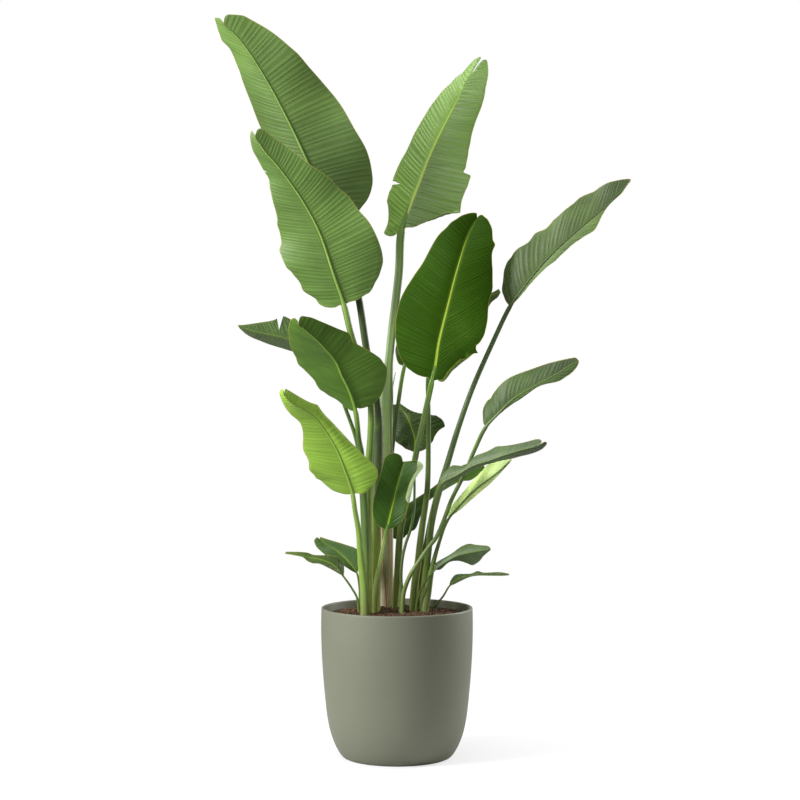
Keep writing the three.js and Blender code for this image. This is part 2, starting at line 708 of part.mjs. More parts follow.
// ---- pot and soil ----
function lathe(profile, segments) {
  const points = profile.map(([radius, height]) => new THREE.Vector2(radius, height));
  return new THREE.LatheGeometry(points, segments).rotateX(Math.PI / 2);
}

function innerProfile(gap) {
  const walls = POT_PROFILE.slice(2).filter((point, i) => i % 2 === 0);
  const inset = POT_WALL + gap;
  const floor = [POT_PROFILE[1][0] - inset, POT_FLOOR + gap];
  return [[0, POT_FLOOR + gap], floor, ...walls.map(([radius, height]) => [radius - inset, height])];
}

function makePot() {
  const outside = POT_PROFILE.map((point) => [...point]);
  const lipInside = LIP_RADIUS - POT_WALL;
  const lip = [
    [LIP_RADIUS, POT_HEIGHT - LIP_ROUNDING],
    [LIP_RADIUS - LIP_ROUNDING, POT_HEIGHT],
    [lipInside + LIP_ROUNDING, POT_HEIGHT],
    [lipInside, POT_HEIGHT - LIP_ROUNDING],
  ];
  const profile = [[0, 0], ...outside, ...lip, ...innerProfile(0).reverse()];
  return lathe(profile, POT_SEGMENTS);
}

function crumb(x, y) {
  const coarse = Math.sin(x / CRUMB_SPAN[0] + 1) * Math.cos(y / CRUMB_SPAN[0]);
  const fine = Math.sin((x - y) / CRUMB_SPAN[1]) * Math.cos((x + y) / CRUMB_SPAN[1]);
  return SOIL_CRUMB * (coarse + fine) / 2;
}

function makeSoil() {
  const inner = innerProfile(SOIL_GAP);
  const edge = LIP_RADIUS - POT_WALL - SOIL_GAP;
  const surface = [];
  for (let ring = 0; ring <= SOIL_RINGS; ring += 1) {
    const inward = ring / SOIL_RINGS;
    surface.push([edge * (1 - inward), SOIL_EDGE + (SOIL_CENTRE - SOIL_EDGE) * Math.sin(inward * Math.PI / 2)]);
  }
  const geometry = lathe([...inner, ...surface], POT_SEGMENTS);
  const place = geometry.attributes.position;
  for (let i = 0; i < place.count; i += 1) {
    const radius = Math.hypot(place.getX(i), place.getY(i));
    if (place.getZ(i) >= SOIL_EDGE && radius < edge - 1) {
      place.setZ(i, place.getZ(i) + crumb(place.getX(i), place.getY(i)));
    }
  }
  return geometry;
}

// ---- stalk and midrib: one tapering tube from the root to the leaf's tip ----
// Each ring is an ellipse across the path: its half sizes are [seen from the front, in depth].
function tube(rings) {
  const sides = rings[0].length;
  const triangles = [];
  for (let r = 0; r + 1 < rings.length; r += 1) {
    for (let k = 0; k < sides; k += 1) {
      const next = (k + 1) % sides;
      const [a, b] = [r * sides + k, r * sides + next];
      triangles.push([a, b, b + sides], [a, b + sides, a + sides]);
    }
  }
  const last = (rings.length - 1) * sides;
  for (let k = 1; k + 1 < sides; k += 1) {
    triangles.push([0, k + 1, k], [last, last + k, last + k + 1]);
  }
  return closedGeometry(rings.flat(), triangles);
}

function ringAt(centre, along, half, lift = 0) {
  const away = new THREE.Vector3(0, 1, 0);
  const across = new THREE.Vector3().crossVectors(away, along).normalize();
  const deep = new THREE.Vector3().crossVectors(along, across).normalize();
  const ring = [];
  for (let k = 0; k < STEM_SIDES; k += 1) {
    const turn = 2 * Math.PI * k / STEM_SIDES;
    ring.push(centre.clone()
      .addScaledVector(across, half[0] * Math.cos(turn))
      .addScaledVector(deep, half[1] * Math.sin(turn) + lift));
  }
  return ring;
}

class LeafPath {
  constructor(leaf) {
    const points = [...leaf.stalk, ...leaf.rib].map((point) => new THREE.Vector3(...point));
    const segments = points.length - 1;
    this.curve = smoothCurve(points);
    this.curve.arcLengthDivisions = segments * PATH_DIVISIONS;
    const lengths = this.curve.getLengths();
    this.foot = lengths[(leaf.stalk.length - 1) * PATH_DIVISIONS] / lengths.at(-1);
  }

  seen(share) {
    return this.curve.getPointAt(Math.min(share, 1));
  }

  rib(s) {
    return this.seen(this.foot + (1 - this.foot) * s);
  }

  place(share) {
    return sight(this.seen(share).toArray());
  }

  along(share) {
    const ahead = this.place(Math.min(share + SMALL_STEP, 1));
    return ahead.sub(this.place(Math.max(share - SMALL_STEP, 0))).normalize();
  }
}

// the half sizes of the ring at a share of the path; a sheath holds its size up to its third number
function stemHalf(leaf, path, share) {
  const { root, foot, sheath, tip = RIB_TIP } = leaf.thick;
  const mix = (from, to, blend) => [0, 1].map((axis) => THREE.MathUtils.lerp(from[axis], to[axis], blend));
  const up = share / path.foot;
  if (up > 1) {
    return mix(foot, tip, ((share - path.foot) / (1 - path.foot)) ** RIB_TAPER);
  }
  if (!sheath) {
    return mix(foot, root, (1 - up) ** STALK_TAPER);
  }
  const end = sheath[2];
  if (up < end) {
    return mix(root, sheath, up / end);
  }
  return mix(sheath, foot, smoothstep(up, end, end + SHEATH_FADE));
}

function stemShares(leaf, path) {
  const shares = [];
  const [stalkSteps, ribSteps] = leaf.steps;
  for (let i = 0; i < stalkSteps; i += 1) {
    shares.push(path.foot * i / stalkSteps);
  }
  for (let i = 0; i <= ribSteps; i += 1) {
    shares.push(path.foot + (RIB_END - path.foot) * i / ribSteps);
  }
  return shares;
}

function makeStem(leaf, path) {
  const side = leaf.underside === 'front' ? -1 : 1;
  const rings = stemShares(leaf, path).map((share) => {
    const half = stemHalf(leaf, path, share);
    const onBlade = Math.max(0, (share - path.foot) / (1 - path.foot));
    const lift = side * RIB_PROUD * (half[1] - BLADE_THICKNESS / 2) * Math.min(1, onBlade / RIB_RISE);
    return ringAt(path.place(share), path.along(share), half, lift);
  });
  return tube(rings);
}

function makeHole(leaf, path) {
  const rings = [];
  for (const share of stemShares(leaf, path)) {
    const centre = path.place(share);
    const half = stemHalf(leaf, path, share).map((size) => size + HOLE_CLEARANCE);
    if (rings.length === 0) {
      centre.z -= HOLE_CLEARANCE;
    }
    rings.push(ringAt(centre, path.along(share), half));
    if (centre.z > HOLE_TOP) {
      break;
    }
  }
  return tube(rings);
}

// ---- blade ----
// A half blade spreads between the midrib and its margin as seen from the front. Across it the
// section's slope away from the viewer turns from the first angle at the midrib to the second at
// the margin, and on through a curl's turn where the margin folds over. The section is as wide as
// reaches the seen margin.
function anglesAt(half, s) {
  const stations = half.turn;
  const position = Math.min(s, 0.9999) * (stations.length - 1);
  const index = Math.floor(position);
  const blend = smoothstep(position - index, 0, 1);
  const wave = (half.wave ?? 0) * Math.sin(2 * Math.PI * (half.waves ?? 0) * s);
  const [first, second] = [0, 1].map(
    (end) => THREE.MathUtils.lerp(stations[index][end], stations[index + 1][end], blend),
  );
  return [first * degrees, (second + wave) * degrees];
}

function curlAt(half, s, t) {
  const { from, to, start, turn, fade = CURL_FADE } = half.curl ?? NO_CURL;
  const held = smoothstep(s, from - fade, from + fade) - smoothstep(s, to - fade, to + fade);
  return held * turn * degrees * smoothstep(t, start, (1 + start) / 2);
}

// how far out and how far back the section has come at share t of the width, and its whole reach
function sectionAt(half, s, t) {
  const [first, second] = anglesAt(half, s);
  const place = { out: 0, back: 0, reach: 0 };
  let out = 0;
  for (let i = 0; i < SECTION_STEPS; i += 1) {
    const middle = (i + 0.5) / SECTION_STEPS;
    const slope = first + (second - first) * middle + curlAt(half, s, middle);
    const step = THREE.MathUtils.clamp(t - i / SECTION_STEPS, 0, 1 / SECTION_STEPS);
    place.out += Math.cos(slope) * step;
    place.back += Math.sin(slope) * step;
    out += Math.cos(slope) / SECTION_STEPS;
    place.reach = Math.max(place.reach, out);
  }
  return place;
}

class HalfBlade {
  constructor(path, half) {
    this.path = path;
    this.half = half;
    const foot = path.rib(0);
    const edge = half.edge.map(([x, z]) => new THREE.Vector3(x, 0, z));
    this.edge = smoothCurve([new THREE.Vector3(foot.x, 0, foot.z), ...edge]);
    this.edge.arcLengthDivisions = EDGE_DIVISIONS;
    this.fan = half.fan ?? BASE_FAN;
  }

  ribPoint(s) {
    const point = this.path.rib(s);
    return new THREE.Vector3(point.x, 0, point.z);
  }

  edgePoint(s) {
    return this.edge.getPointAt(this.fan + (1 - this.fan) * s);
  }

  // the point s along the leaf and t across the half, s and t from 0 to 1
  seen(s, t, shift = 0) {
    const { out, back, reach } = sectionAt(this.half, s, t);
    const q = out / reach;
    const point = this.edge.getPointAt(this.fan * q).multiplyScalar(1 - s)
      .addScaledVector(this.ribPoint(s), 1 - q).addScaledVector(this.edgePoint(s), q)
      .addScaledVector(this.ribPoint(0), -(1 - s) * (1 - q)).addScaledVector(this.edgePoint(0), -(1 - s) * q);
    if (shift !== 0) {
      const along = this.edgePoint(s + SMALL_STEP).sub(this.edgePoint(s - SMALL_STEP)).normalize();
      point.addScaledVector(along, shift);
    }
    const width = this.edgePoint(s).distanceTo(this.ribPoint(s)) / reach;
    return [point.x, this.path.rib(s).y + width * back, point.z];
  }
}

// the shares of the width where a half has points: even, and on over a curl
function columnShares(half, columns) {
  const end = half.curl?.start ?? 1;
  const shares = Array.from({ length: columns + 1 }, (_, j) => end * j / columns);
  return half.curl ? [...shares, end + 0.45 * (1 - end), 1] : shares;
}

function bladeSheet(leaf, path) {
  const { rows } = leaf;
  const points = [];
  const faces = [];
  const rib = [];
  for (let i = 0; i <= rows; i += 1) {
    rib.push(points.push(sight(path.rib(i / rows).toArray())) - 1);
  }
  for (const [name, order] of [['left', 1], ['right', -1]]) {
    const half = new HalfBlade(path, leaf[name]);
    const tears = leaf[name].tears ?? [];
    const shares = columnShares(leaf[name], leaf[name].columns ?? leaf.columns);
    const below = [];
    const above = [];
    for (let i = 0; i <= rows; i += 1) {
      const tear = tears.find(([row]) => row === i);
      const lower = [rib[i]];
      const upper = [rib[i]];
      for (const t of shares.slice(1)) {
        const pleat = (i % 2 ? PLEAT : -PLEAT) * Math.sin(Math.PI * Math.min(t, PLEAT_END));
        const addPoint = (shift) => {
          const [x, depth, z] = half.seen(i / rows, t, shift);
          return points.push(sight([x, depth + pleat, z])) - 1;
        };
        if (tear && t > tear[1]) {
          const opening = tear[2] / 2 * (t - tear[1]) / (1 - tear[1]);
          lower.push(addPoint(-opening));
          upper.push(addPoint(opening));
        } else {
          lower.push(addPoint(0));
          upper.push(lower.at(-1));
        }
      }
      below.push(lower);
      above.push(upper);
    }
    for (let i = 0; i < rows; i += 1) {
      for (let j = 0; j + 1 < shares.length; j += 1) {
        const [a, b, c, d] = [above[i][j], above[i][j + 1], below[i + 1][j + 1], below[i + 1][j]];
        const pair = [[a, b, c], [a, c, d]];
        faces.push(...(order > 0 ? pair : pair.map(([p, q, r]) => [p, r, q])));
      }
    }
  }
  return { points, faces };
}

// gives a sheet its thickness, half to each side, and closes it along its rim
function thicken({ points, faces }, thickness) {
  const normals = points.map(() => new THREE.Vector3());
  const edges = new Map();
  for (const [a, b, c] of faces) {
    const normal = points[b].clone().sub(points[a]).cross(points[c].clone().sub(points[a]));
    [a, b, c].forEach((corner) => normals[corner].add(normal));
    [[a, b], [b, c], [c, a]].forEach(([from, to]) => edges.set(`${from},${to}`, [from, to]));
  }
  const shifted = (side) => points.map(
    (point, i) => point.clone().addScaledVector(normals[i].normalize(), side * thickness / 2),
  );
  const count = points.length;
  const triangles = faces.flatMap(([a, b, c]) => [[a, b, c], [a + count, c + count, b + count]]);
  for (const [from, to] of edges.values()) {
    if (!edges.has(`${to},${from}`)) {
      triangles.push([to, from, from + count], [to, from + count, to + count]);
    }
  }
  return closedGeometry([...shifted(1), ...shifted(-1)], triangles);
}

function makeLeaf(leaf) {
  const path = new LeafPath(leaf);
  const stem = toSolid(makeStem(leaf, path));
  const blade = toSolid(thicken(bladeSheet(leaf, path), BLADE_THICKNESS));
  return toGeometry(stem.add(blade).simplify(MERGE_WITHIN));
}

// ---- the object ----
const plant = new THREE.Group();

function addPiece(name, geometry, colour, roughness) {
  const material = new THREE.MeshStandardMaterial({ color: colour, roughness, metalness: 0 });
  const mesh = new THREE.Mesh(geometry, material);
  mesh.name = name;
  plant.add(mesh);
}

addPiece('pot', makePot(), POT_COLOUR, 0.75);

let soil = toSolid(makeSoil());
for (const leaf of Object.values(LEAVES)) {
  soil = soil.subtract(toSolid(makeHole(leaf, new LeafPath(leaf))));
}
soil = soil.subtract(toSolid(makeHole(SPEAR, new LeafPath(SPEAR))));
addPiece('soil', toGeometry(soil), SOIL_COLOUR, 0.95);

for (const [name, leaf] of Object.entries(LEAVES)) {
  addPiece(name, makeLeaf(leaf), leaf.colour, 0.5);
}
addPiece('leaf_rolled_spear', makeStem(SPEAR, new LeafPath(SPEAR)), SPEAR.colour, 0.5);

export default plant;
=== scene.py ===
# A potted bird of paradise, dressed over its solid frame.
#
# Metres, +Z up, the origin at the centre of the pot's foot. The camera looks along +Y.
# The leaves' points are [x, depth, z] in millimetres as they are seen from the front: x and z are
# measured in the plane of the pot's axis, and depth is how far a point lies behind that plane.
# sight() slides such a point along its sight line to its true place, as the solids are placed.
import math

import bpy
import numpy as np
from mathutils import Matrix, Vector


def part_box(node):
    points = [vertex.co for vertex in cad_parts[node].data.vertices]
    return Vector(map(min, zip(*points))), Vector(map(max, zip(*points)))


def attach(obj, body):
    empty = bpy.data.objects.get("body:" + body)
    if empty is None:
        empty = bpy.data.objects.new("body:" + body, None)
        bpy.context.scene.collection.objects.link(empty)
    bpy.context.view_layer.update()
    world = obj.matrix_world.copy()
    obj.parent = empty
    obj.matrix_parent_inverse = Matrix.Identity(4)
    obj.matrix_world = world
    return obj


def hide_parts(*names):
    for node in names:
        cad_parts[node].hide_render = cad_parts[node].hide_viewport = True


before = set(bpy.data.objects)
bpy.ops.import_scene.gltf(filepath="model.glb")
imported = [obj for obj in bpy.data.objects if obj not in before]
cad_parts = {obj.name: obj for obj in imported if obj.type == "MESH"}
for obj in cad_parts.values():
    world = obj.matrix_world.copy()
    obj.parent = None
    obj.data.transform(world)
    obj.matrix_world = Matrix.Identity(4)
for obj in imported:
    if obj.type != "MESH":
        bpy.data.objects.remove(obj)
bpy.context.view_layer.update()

bl_info = {
    "name": "Potted bird of paradise",
    "version": (1, 0, 0),
    "blender": (4, 5, 0),
    "location": "3D View > Sidebar > Plant",
    "description": "Builds a potted bird of paradise with its pot, soil, leaves and a studio stage",
    "category": "Add Mesh",
}

MM = 0.001
EYE = np.array([6.0, -4000.0, 794.0]) * MM
AWAY = np.array([0.0, 1.0, 0.0])

# ---- pot and soil, in millimetres: [radius, height] up the outside ----
POT_PROFILE = [
    (104, 0), (110, 3), (122, 21), (133, 49), (139.5, 79), (143.5, 113), (148, 164), (151, 215),
    (152, 260),
]
POT_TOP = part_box("pot")[1][2]
LIP_RADIUS = 151.5 * MM
LIP_ROUNDING = 2.4 * MM
POT_WALL = 6 * MM
POT_FLOOR = 8 * MM
SOIL_EDGE = 284 * MM
SOIL_CENTRE = 293 * MM
POT_SIDES = 144
POT_RINGS = 60
LIP_STEPS = 7
SOIL_RINGS = 40
SOIL_ROOM = 0.3 * MM
CRUMB_GRID = 60

# ---- leaves ----
# powers with which a stalk and a rib thin out, and the channel's depth, as a share, and its
# spread, in degrees
STALK_TAPER = 1.4
CHANNEL_DEPTH = 0.3
CHANNEL_SPREAD = 34
# degrees from the channel's middle to the sheath's edge, low down and above, by the underside
SEAMS = {"front": (50, 84), "back": (12, 50)}
SHEATH_FADE = 0.14
RIB_TAPER = 0.3
RIB_TIP = (1.3, 1.1)
# how far the rib stands out of a blade whose underside, or upper side, is to the front
RIB_PROUD = 0.6
RIB_SUNK = 1.0
RIB_RISE = 0.17
RIB_END = 0.985
CURVE_DIVISIONS = 24
SMALL_STEP = 0.004
STALK_SIDES = 28
STALK_STEP = 6 * MM
ROWS_A_PLEAT = 4.6
# two slow waves that set the pleats unevenly: their size, their pace and the seed's part in them
PLEAT_DRIFT = ((0.14, 1.9, 1), (0.3, 0.61, 2))
# pleats fade between these: times their spacing that they crowd, and pleats to a step of the mesh
PLEATS_CROWD = (3.4, 1.6)
PLEATS_COARSE = (0.46, 0.3)
CREST_STRENGTH = 0.72
CREST_CHANGE = 0.28
CREST_POWER = 0.9
CREST_RISE = (0.5 * MM, 12 * MM)
MARGIN_FADE = 10 * MM
MARGIN_SHARE = 0.4
# a vein's lean at the midrib, and what it gains on its way to the margin
VEIN_CURL = (0.85, 0.3)
WIDEST_AT = 0.4
STEEPEST_VEIN = 80
PLEAT_SHARE = 0.28
COLUMN_STEPS = (1.2 * MM, 3.6 * MM)
FIXED_COLUMNS = (0.0, 0.025, 0.975, 0.992, 1.0)
INNER_COLUMNS = (0.06, 0.94)
SECTION_STEPS = 192
CURL_COLUMNS = 24
MARGIN_TAPER = 5 * MM
LEAF_SHARP = 60
SHEATH_SPAN = (0.05, 0.6)
SHEATH_ROOT = 8
EDGE_STEPS = 100
EDGE_LIFT = 0.1 * MM
EDGE_FULL = 7 * MM

# ---- camera, floor and lights ----
CAMERA_LENS = 90
CAMERA_PITCH = 1.131
FLOOR_RADIUS = 2.2
FLOOR_SIDES = 64
# each light's place, the point it faces, its side's length and its spread in degrees
LIGHTS = {
    "key": ((-2.3, -1.15, 1.6), (0, 0, 0.7), 1.0, 180),
    "rim": ((2.1, 1.2, 1.3), (0, 0, 0.6), 1.2, 180),
    "top": ((-0.4, -0.3, 3.3), (0, 0, 0.7), 1.6, 180),
    "front": ((-0.5, -2.3, 1.9), (0, 0, 1.1), 1.0, 44),
}

# What a leaf or a half has where it gives nothing else.
# rib_end is the share of the leaf where the rib's own colour ends, fine scales the number of fine
# veins, dryness says how dry the sheath's edges are, and reach is how much of its line the stalk's
# tube covers. A leaf may also give its rib a lighter colour for the left side on the stalk: a
# painted highlight where the key light catches the keel.
USUAL_LEAF = {
    "slot": "leaf_mid", "rib_colour": (0.33, 0.46, 0.06), "rib_under": (0.1, 0.2, 0.02),
    "rib_end": 1.1, "specular": 0.5, "fine": 1, "dryness": 0.3, "reach": RIB_END,
}
USUAL_HALF = {
    "veins": (60, 45, 30), "fan": 0.12, "wave": 0, "waves": 0, "tears": [], "tone": (1, 1),
}

# What the four young leaves low down share, and the two leaves that are almost hidden.
SPROUT = {
    "pleat": (5, 0.2), "rib_width": 1.0, "under": (0.1, 0.17, 0.04),
    "rib_under": (0.14, 0.24, 0.04), "stalk_colour": (0.1, 0.18, 0.03),
}
HIDDEN = {
    "slot": "leaf_dark", "underside": "back", "pleat": (8, 0.35), "rib_width": 2.2,
    "under": (0.1, 0.17, 0.05),
}
HIDDEN_HALF = {"turn": ((-18, 20), (-20, 20), (-12, 15)), "veins": (65, 60, 50)}

# Every list runs from the root, or from the blade's foot, to the tip, and every length is in
# millimetres. underside is the way it faces. size holds half sizes, across and in depth, and a
# sheath's share of the stalk. seam is how far round the sheath's edge runs, in degrees, low down
# and above. pleat is the pleats' spacing and height, and rib_width half the painted rib's width.
# An edge is one half's margin as (x, z), and left and right are as seen from the front with the
# tip up. turn gives the slopes at the midrib and the margin, in degrees away from the viewer, at
# even steps along the leaf, and wave swings the second by so many degrees, waves times over. veins
# are the side veins' angles to the midrib. A tear is (row out of the leaf's rows, share of the
# half where it ends, opening at the margin). A curl is (share of the leaf where it starts, where
# it ends, share of the width where the fold starts, its turn in degrees, its fade along the leaf).
# tone makes a half lighter or darker along the leaf: painted light and shade, where the half is
# lit more or less than the lamps give it. fan is the share of the margin that spreads from the
# blade's foot.
LEAF_SHAPES = {
    "leaf_top_left": {
        "underside": "front", "pleat": (9, 0.22), "rib_width": 1.6,
        "size": {"root": (10, 8), "sheath": (10, 8, 0.5), "foot": (7, 6)}, "specular": 0.35,
        "rib_painted_highlight": (0.2, 0.33, 0.06), "base_colour": (0.27, 0.37, 0.05), "dryness": 0.8,
        "under": (0.093, 0.168, 0.033), "upper": (0.05, 0.13, 0.015),
        "rib_under": (0.03, 0.075, 0.006), "stalk_colour": (0.04, 0.064, 0.015),
        "stalk": [
            (-43, 10, 262), (-43, 10, 335), (-43, 8, 415), (-42, 6, 495), (-39, 2, 575),
            (-38, -2, 655), (-41, -6, 715), (-61, -16, 817), (-76, -26, 915), (-92, -32, 985),
            (-108, -36, 1039),
        ],
        "rib": [
            (-178, -50, 1189), (-214, -60, 1265), (-262, -72, 1355), (-310, -82, 1428),
            (-346, -88, 1464),
        ],
        "left": {
            "turn": ((24, 44), (30, 46), (26, 42)), "veins": (60, 52, 24),
            "tone": (0.76, 0.73, 1.12),
            "edge": [
                (-142, 1051), (-188, 1105), (-232, 1179), (-273, 1261), (-290, 1305), (-307, 1349),
                (-314, 1371), (-320, 1386), (-327, 1403), (-333, 1415), (-341, 1424), (-349, 1432),
                (-353, 1443), (-357, 1454), (-360, 1465), (-363, 1477), (-359, 1477), (-353, 1476),
                (-349, 1471), (-347, 1467),
            ],
        },
        "right": {
            "turn": ((0, 8), (0, 10), (0, 8)), "wave": 8, "waves": 2.5, "veins": (112, 92, 69),
            "tone": (0.84, 0.87, 1.12),
            "edge": [
                (-100, 1051), (-88, 1075), (-74, 1096), (-58, 1117), (-49, 1145), (-50, 1171),
                (-60, 1212), (-85, 1257), (-113, 1305), (-154, 1355), (-176, 1380), (-197, 1405),
                (-214, 1420), (-235, 1438), (-254, 1452), (-274, 1464), (-294, 1475), (-306, 1481),
                (-322, 1483), (-338, 1483), (-342, 1480), (-344, 1476), (-345, 1469),
            ],
        },
    },
    "leaf_upper_left": {
        "underside": "front", "rows": 16, "pleat": (7.5, 0.22), "rib_width": 1.6,
        "size": {"root": (9.5, 8), "foot": (6, 5.5)}, "specular": 0.3,
        "rib_painted_highlight": (0.24, 0.38, 0.07), "base_colour": (0.34, 0.46, 0.1), "dryness": 0.7,
        "under": (0.12, 0.22, 0.043), "upper": (0.05, 0.13, 0.015),
        "rib_under": (0.035, 0.085, 0.006), "stalk_colour": (0.12, 0.2, 0.03),
        "stalk": [
            (-57, -8, 262), (-57, -8, 335), (-58, -12, 417), (-60, -18, 495), (-57, -26, 575),
            (-52, -34, 651), (-53, -40, 711), (-72, -52, 783), (-93, -62, 851), (-106, -70, 905),
        ],
        "rib": [
            (-126, -83, 963), (-156, -100, 1051), (-192, -114, 1117), (-238, -130, 1181),
            (-263, -138, 1209), (-283, -146, 1240),
        ],
        "left": {
            "turn": ((8, 28), (10, 28), (8, 24)), "wave": 10, "waves": 3, "veins": (75, 57, 20),
            "tone": (0.82, 0.76, 0.78), "tears": [(12, 0.75, 5)],
            "edge": [
                (-115, 904), (-124, 900), (-140, 900), (-151, 904), (-157, 909), (-163, 918),
                (-174, 925), (-183, 930), (-189, 936), (-192, 945), (-197, 954), (-205, 963),
                (-212, 972), (-220, 979), (-225, 988), (-232, 1005), (-235, 1013), (-234, 1019),
                (-231, 1028), (-232, 1039), (-235, 1053), (-239, 1065), (-239, 1077), (-243, 1095),
                (-248, 1112), (-252, 1131), (-254, 1140), (-255, 1153), (-258, 1161), (-266, 1173),
                (-274, 1188), (-281, 1201), (-288, 1214), (-291, 1225), (-293, 1237), (-293, 1245),
                (-290, 1253), (-287, 1249), (-284, 1242),
            ],
        },
        "right": {
            "turn": ((-3, 8), (-2, 8), (-2, 6)), "wave": 8, "waves": 2.5, "veins": (90, 79, 62),
            "tone": (0.95, 0.92, 0.82),
            "edge": [
                (-94, 911), (-82, 914), (-70, 921), (-62, 926), (-56, 929), (-52, 934), (-48, 940),
                (-44, 949), (-37, 961), (-32, 975), (-28, 991), (-29, 1005), (-31, 1015),
                (-41, 1043), (-56, 1071), (-77, 1095), (-97, 1122), (-118, 1140), (-135, 1158),
                (-158, 1175), (-172, 1184), (-217, 1219), (-232, 1230), (-248, 1241), (-262, 1251),
                (-273, 1257), (-278, 1255), (-281, 1249), (-283, 1243),
            ],
        },
    },
    "leaf_top_right": {
        "underside": "back", "rows": 18, "pleat": (8.6, 0.62), "rib_width": 3.4,
        "size": {"root": (13.5, 9.5), "sheath": (14.5, 9, 0.55), "foot": (8.2, 6.5)},
        "specular": 0.45, "seam": (2, 38), "rib_end": 0.99, "base_colour": (0.4, 0.36, 0.23),
        "dryness": 1.0, "under": (0.2, 0.33, 0.09), "upper": (0.13, 0.235, 0.04),
        "rib_colour": (0.36, 0.5, 0.07), "stalk_colour": (0.17, 0.25, 0.09),
        "stalk": [
            (-20, 58, 262), (-20, 58, 319), (-21, 57, 415), (-22, 54, 515), (-22, 50, 615),
            (-22, 46, 703), (-13, 42, 825), (-3, 40, 911), (4, 38, 973), (9, 38, 1053),
        ],
        "rib": [
            (26, 46, 1103), (41, 54, 1141), (66, 68, 1205), (97, 84, 1269), (121, 96, 1315),
            (132, 102, 1339), (150, 110, 1365),
        ],
        "left": {
            "turn": ((14, 38), (18, 42), (14, 34)), "fan": 0.02, "veins": (74, 64, 57),
            "tone": (1.35, 1.4, 1.25), "tears": [(5, 0.66, 8.5)],
            "edge": [
                (4, 1049), (-2, 1046), (-7, 1043), (-13, 1042), (-21, 1044), (-26, 1048),
                (-23, 1056), (-19, 1066), (-17, 1079), (-17, 1091), (-18, 1103), (-20, 1112),
                (-18, 1121), (-15, 1131), (-11, 1139), (-8, 1155), (0, 1176), (8, 1193), (18, 1210),
                (26, 1227), (34, 1245), (44, 1263), (56, 1283), (67, 1301), (80, 1318), (92, 1333),
                (107, 1347), (118, 1359), (131, 1368), (142, 1381), (155, 1394), (164, 1399),
                (168, 1398), (164, 1394), (158, 1386), (153, 1377), (150, 1369),
            ],
        },
        "right": {
            "turn": ((-4, -8), (-2, -4), (0, 0)), "wave": 5, "waves": 2, "fan": 0.04,
            "curl": (-0.1, 0.2, 0.86, -150, 0.04), "veins": (90, 80, 62),
            "tone": (0.87, 0.84, 0.84),
            "edge": [
                (18, 1059), (32, 1060), (40, 1063), (56, 1070), (75, 1076), (90, 1082), (107, 1087),
                (118, 1088), (126, 1089), (127, 1095), (129, 1111), (133, 1123), (137, 1133),
                (141, 1141), (144, 1151), (147, 1163), (143, 1165), (133, 1170), (137, 1178),
                (139, 1189), (142, 1203), (143, 1213), (146, 1226), (149, 1243), (154, 1261),
                (160, 1278), (168, 1298), (172, 1311), (175, 1323), (177, 1337), (179, 1347),
                (182, 1363), (182, 1376), (181, 1386), (179, 1393), (175, 1394), (170, 1392),
                (166, 1388), (162, 1381), (156, 1373), (152, 1367),
            ],
        },
    },
    "leaf_broad_centre": {
        "slot": "leaf_dark", "underside": "back", "pleat": (7, 0.22), "rib_width": 2.8,
        "size": {"root": (8, 8), "foot": (5.5, 5)}, "specular": 0.06, "rib_end": 0.95,
        "base_colour": (0.22, 0.3, 0.05), "under": (0.12, 0.22, 0.05),
        "upper": (0.029, 0.079, 0.003), "rib_colour": (0.33, 0.46, 0.05),
        "stalk_colour": (0.09, 0.15, 0.03),
        "stalk": [
            (-3, 36, 262), (-3, 36, 309), (1, 33, 365), (3, 28, 405), (7, 20, 455), (17, 8, 505),
            (28, -10, 555), (39, -34, 611), (56, -68, 688), (69, -90, 748),
        ],
        "rib": [
            (77, -92, 789), (83, -90, 829), (101, -80, 903), (119, -66, 973), (144, -46, 1051),
            (160, -38, 1078),
        ],
        "left": {
            "turn": ((-5, 15), (-5, 20), (-5, 15)), "wave": 8, "waves": 2, "veins": (84, 70, 68),
            "tone": (0.88, 0.86, 0.64),
            "edge": [
                (62, 760), (54, 761), (40, 766), (28, 774), (19, 781), (12, 791), (6, 802),
                (1, 816), (-2, 832), (-4, 847), (-3, 860), (-3, 873), (-1, 886), (2, 900), (6, 914),
                (10, 924), (18, 939), (25, 950), (36, 967), (50, 987), (62, 1009), (75, 1033),
                (86, 1048), (98, 1059), (108, 1070), (119, 1077), (128, 1083), (139, 1087),
                (148, 1089), (156, 1089), (159, 1088), (160, 1082),
            ],
        },
        "right": {
            "turn": ((-5, 8), (-5, 12), (-5, 10)), "wave": 8, "waves": 2, "fan": 0.04,
            "curl": (-0.1, 0.2, 0.8, -165, 0.04), "veins": (40, 50, 65), "tone": (0.94, 0.93, 0.64),
            "edge": [
                (75, 755), (78, 758), (84, 753), (92, 752), (98, 757), (104, 765), (110, 773),
                (118, 780), (130, 790), (144, 800), (154, 808), (162, 809), (159, 814), (158, 819),
                (159, 824), (164, 828), (169, 835), (174, 844), (178, 859), (181, 875), (182, 891),
                (183, 903), (185, 915), (188, 926), (191, 937), (191, 955), (191, 975), (190, 991),
                (190, 1007), (192, 1015), (196, 1024), (195, 1029), (192, 1034), (191, 1045),
                (190, 1057), (186, 1067), (181, 1076), (175, 1081), (170, 1085), (165, 1084),
                (161, 1080),
            ],
        },
    },
    "leaf_mid_left": {
        "underside": "front", "rows": 14, "pleat": (10, 0.36), "rib_width": 1.6,
        "size": {"root": (7, 6), "foot": (5, 4.5)}, "specular": 0.2, "rib_painted_highlight": (0.2, 0.36, 0.04),
        "base_colour": (0.25, 0.34, 0.07), "fine": 0.6, "under": (0.068, 0.145, 0.016),
        "upper": (0.04, 0.11, 0.012), "rib_under": (0.07, 0.15, 0.01),
        "stalk_colour": (0.08, 0.14, 0.03),
        "stalk": [
            (-61, -30, 262), (-61, -30, 355), (-62, -36, 435), (-65, -46, 515), (-71, -70, 611),
            (-76, -76, 635), (-83, -96, 693),
        ],
        "rib": [
